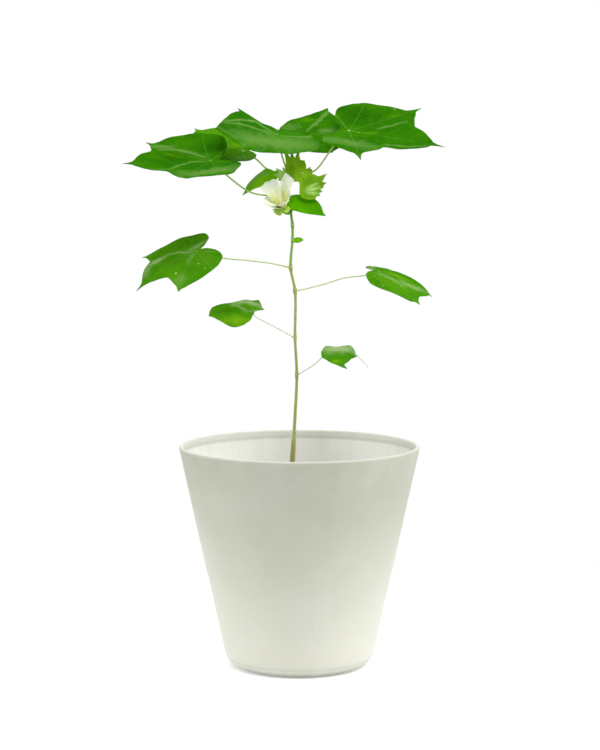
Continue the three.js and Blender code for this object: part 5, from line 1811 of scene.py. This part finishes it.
bud_profile = [(0.4, 0), (1.8, 0.5), (2.3, 1.5), (2.5, 2.5), (2.45, 3.8), (2.3, 5), (1.9, 6.4),
               (1.4, 7.5), (0.8, 8.5), (0.2, 9)]
bud = raised_form(bud_profile, 40)
for vertex in bud.data.vertices:
    heading = math.atan2(vertex.co.y, vertex.co.x)
    height = vertex.co.z / MM
    ridge = 1.0 - RIDGE_DEPTH * abs(math.sin(2.5 * (heading - RIDGE_TWIST * height)))
    vertex.co.x *= ridge
    vertex.co.y *= ridge
bud.data.materials.append(bud_finish())
smooth(bud, 50.0)
bud.data.transform(axis_frame(BUD_BASE, BUD_AXIS, 2 * FLOWER_GAP + BUD_CALYX_HEIGHT))
tie(bud, "bud_petals", "petal_bud", "bud")

# %% [markdown]
# ## Floor and light
#
# A pale floor and large soft lamps show a plant as a studio would. The floor glows a little and
# reflects light up the pot's tapered wall, which together with the painted shade towards the rim
# leaves the wall brightest near its foot. The key lamp is high and in front. Two low lamps at the
# sides brighten the pot's edges and leave its middle darker, which makes it look round.

# %% Floor
FLOOR_RADIUS = 0.55
FLOOR_GLOW = 0.24

bpy.ops.object.select_all(action="DESELECT")
bpy.ops.mesh.primitive_circle_add(vertices=96, radius=FLOOR_RADIUS, fill_type="NGON")
floor = bpy.context.object
floor.name = "studio_floor"
floor_paint = Finish("pale_floor", Specular_IOR_Level=0.1, Emission_Strength=FLOOR_GLOW)
floor_paint.surface.inputs["Emission Color"].default_value = (1.0, 1.0, 1.0, 1.0)
floor_clouds = floor_paint.cloud(floor_paint.place(), 2.0, 2.0, 0.5)
floor_paint.colour(floor_paint.blend(floor_clouds, (0.90, 0.90, 0.90), (0.92, 0.92, 0.92)))
floor_paint.roughness(0.85 + floor_clouds * 0.1)
floor.data.materials.append(floor_paint.material)

# %% Lamps
MIDDLE_OF_PLANT = (0.0, 0.0, 0.3)
FLOWER_HEIGHT = (0.0, 0.0, 0.53)


def aimed_lamp(kind, name, place, aim, power):
    """A lamp that looks at a point and isn't seen itself."""
    bpy.ops.object.light_add(type=kind, location=place)
    lamp = bpy.context.object
    lamp.name = name
    lamp.data.energy = power
    direction = Vector(aim) - Vector(place)
    lamp.rotation_euler = direction.to_track_quat("-Z", "Y").to_euler()
    lamp.visible_camera = False
    return lamp


def soft_lamp(name, place, size, power):
    """A large square lamp that looks at the middle of the plant."""
    lamp = aimed_lamp("AREA", name, place, MIDDLE_OF_PLANT, power)
    lamp.data.shape = "SQUARE"
    lamp.data.size = size


soft_lamp("key_lamp", (0.5, -1.6, 2.3), 1.4, 42.0)
soft_lamp("right_lamp", (2.2, -0.2, 0.9), 1.2, 20.0)
soft_lamp("left_lamp", (-2.2, -0.1, 0.6), 1.2, 21.0)

flower_lamp = aimed_lamp("SPOT", "flower_lamp", (-0.35, -1.6, 0.55), FLOWER_HEIGHT, 75.0)
flower_lamp.data.spot_size = math.radians(16.0)
flower_lamp.data.spot_blend = 1.0
flower_lamp.data.shadow_soft_size = 0.25

# %% [markdown]
# The surroundings are a white studio whose far side and walls are bright and whose near side, where
# the camera stands, is dim. That dim side, with the painted shade in the pot's colour, gives the front
# of the pot its soft grey. The backdrop itself is plain white to the camera, from wherever it looks.

# %% White surroundings with a dim near side
BRIGHT_SIDE = (0.1, 0.8, 1.0)
DIM_UNTIL = -0.6
BRIGHT_FROM = 1.1
DIM_LIGHT = 0.10
BRIGHT_LIGHT = 1.20


def studio_surroundings():
    world = bpy.data.worlds.new("studio_white")
    world.use_nodes = True
    tree = world.node_tree
    direction = tree.nodes.new("ShaderNodeTexCoord")
    facing = tree.nodes.new("ShaderNodeVectorMath")
    facing.operation = "DOT_PRODUCT"
    facing.inputs[1].default_value = BRIGHT_SIDE
    tree.links.new(direction.outputs["Generated"], facing.inputs[0])
    ease = tree.nodes.new("ShaderNodeMapRange")
    ease.interpolation_type = "SMOOTHSTEP"
    for socket, value in zip(ease.inputs[1:5], (DIM_UNTIL, BRIGHT_FROM, DIM_LIGHT, BRIGHT_LIGHT)):
        socket.default_value = value
    tree.links.new(facing.outputs["Value"], ease.inputs[0])
    ray = tree.nodes.new("ShaderNodeLightPath")
    choice = tree.nodes.new("ShaderNodeMix")
    choice.data_type = "FLOAT"
    choice.inputs[3].default_value = 1.0
    tree.links.new(ray.outputs["Is Camera Ray"], choice.inputs[0])
    tree.links.new(ease.outputs[0], choice.inputs[2])
    tree.links.new(choice.outputs[0], tree.nodes["Background"].inputs["Strength"])
    tree.nodes["Background"].inputs["Color"].default_value = (1.0, 1.0, 1.0, 1.0)
    return world


bpy.context.scene.world = studio_surroundings()
bpy.context.scene.view_settings.view_transform = "Standard"
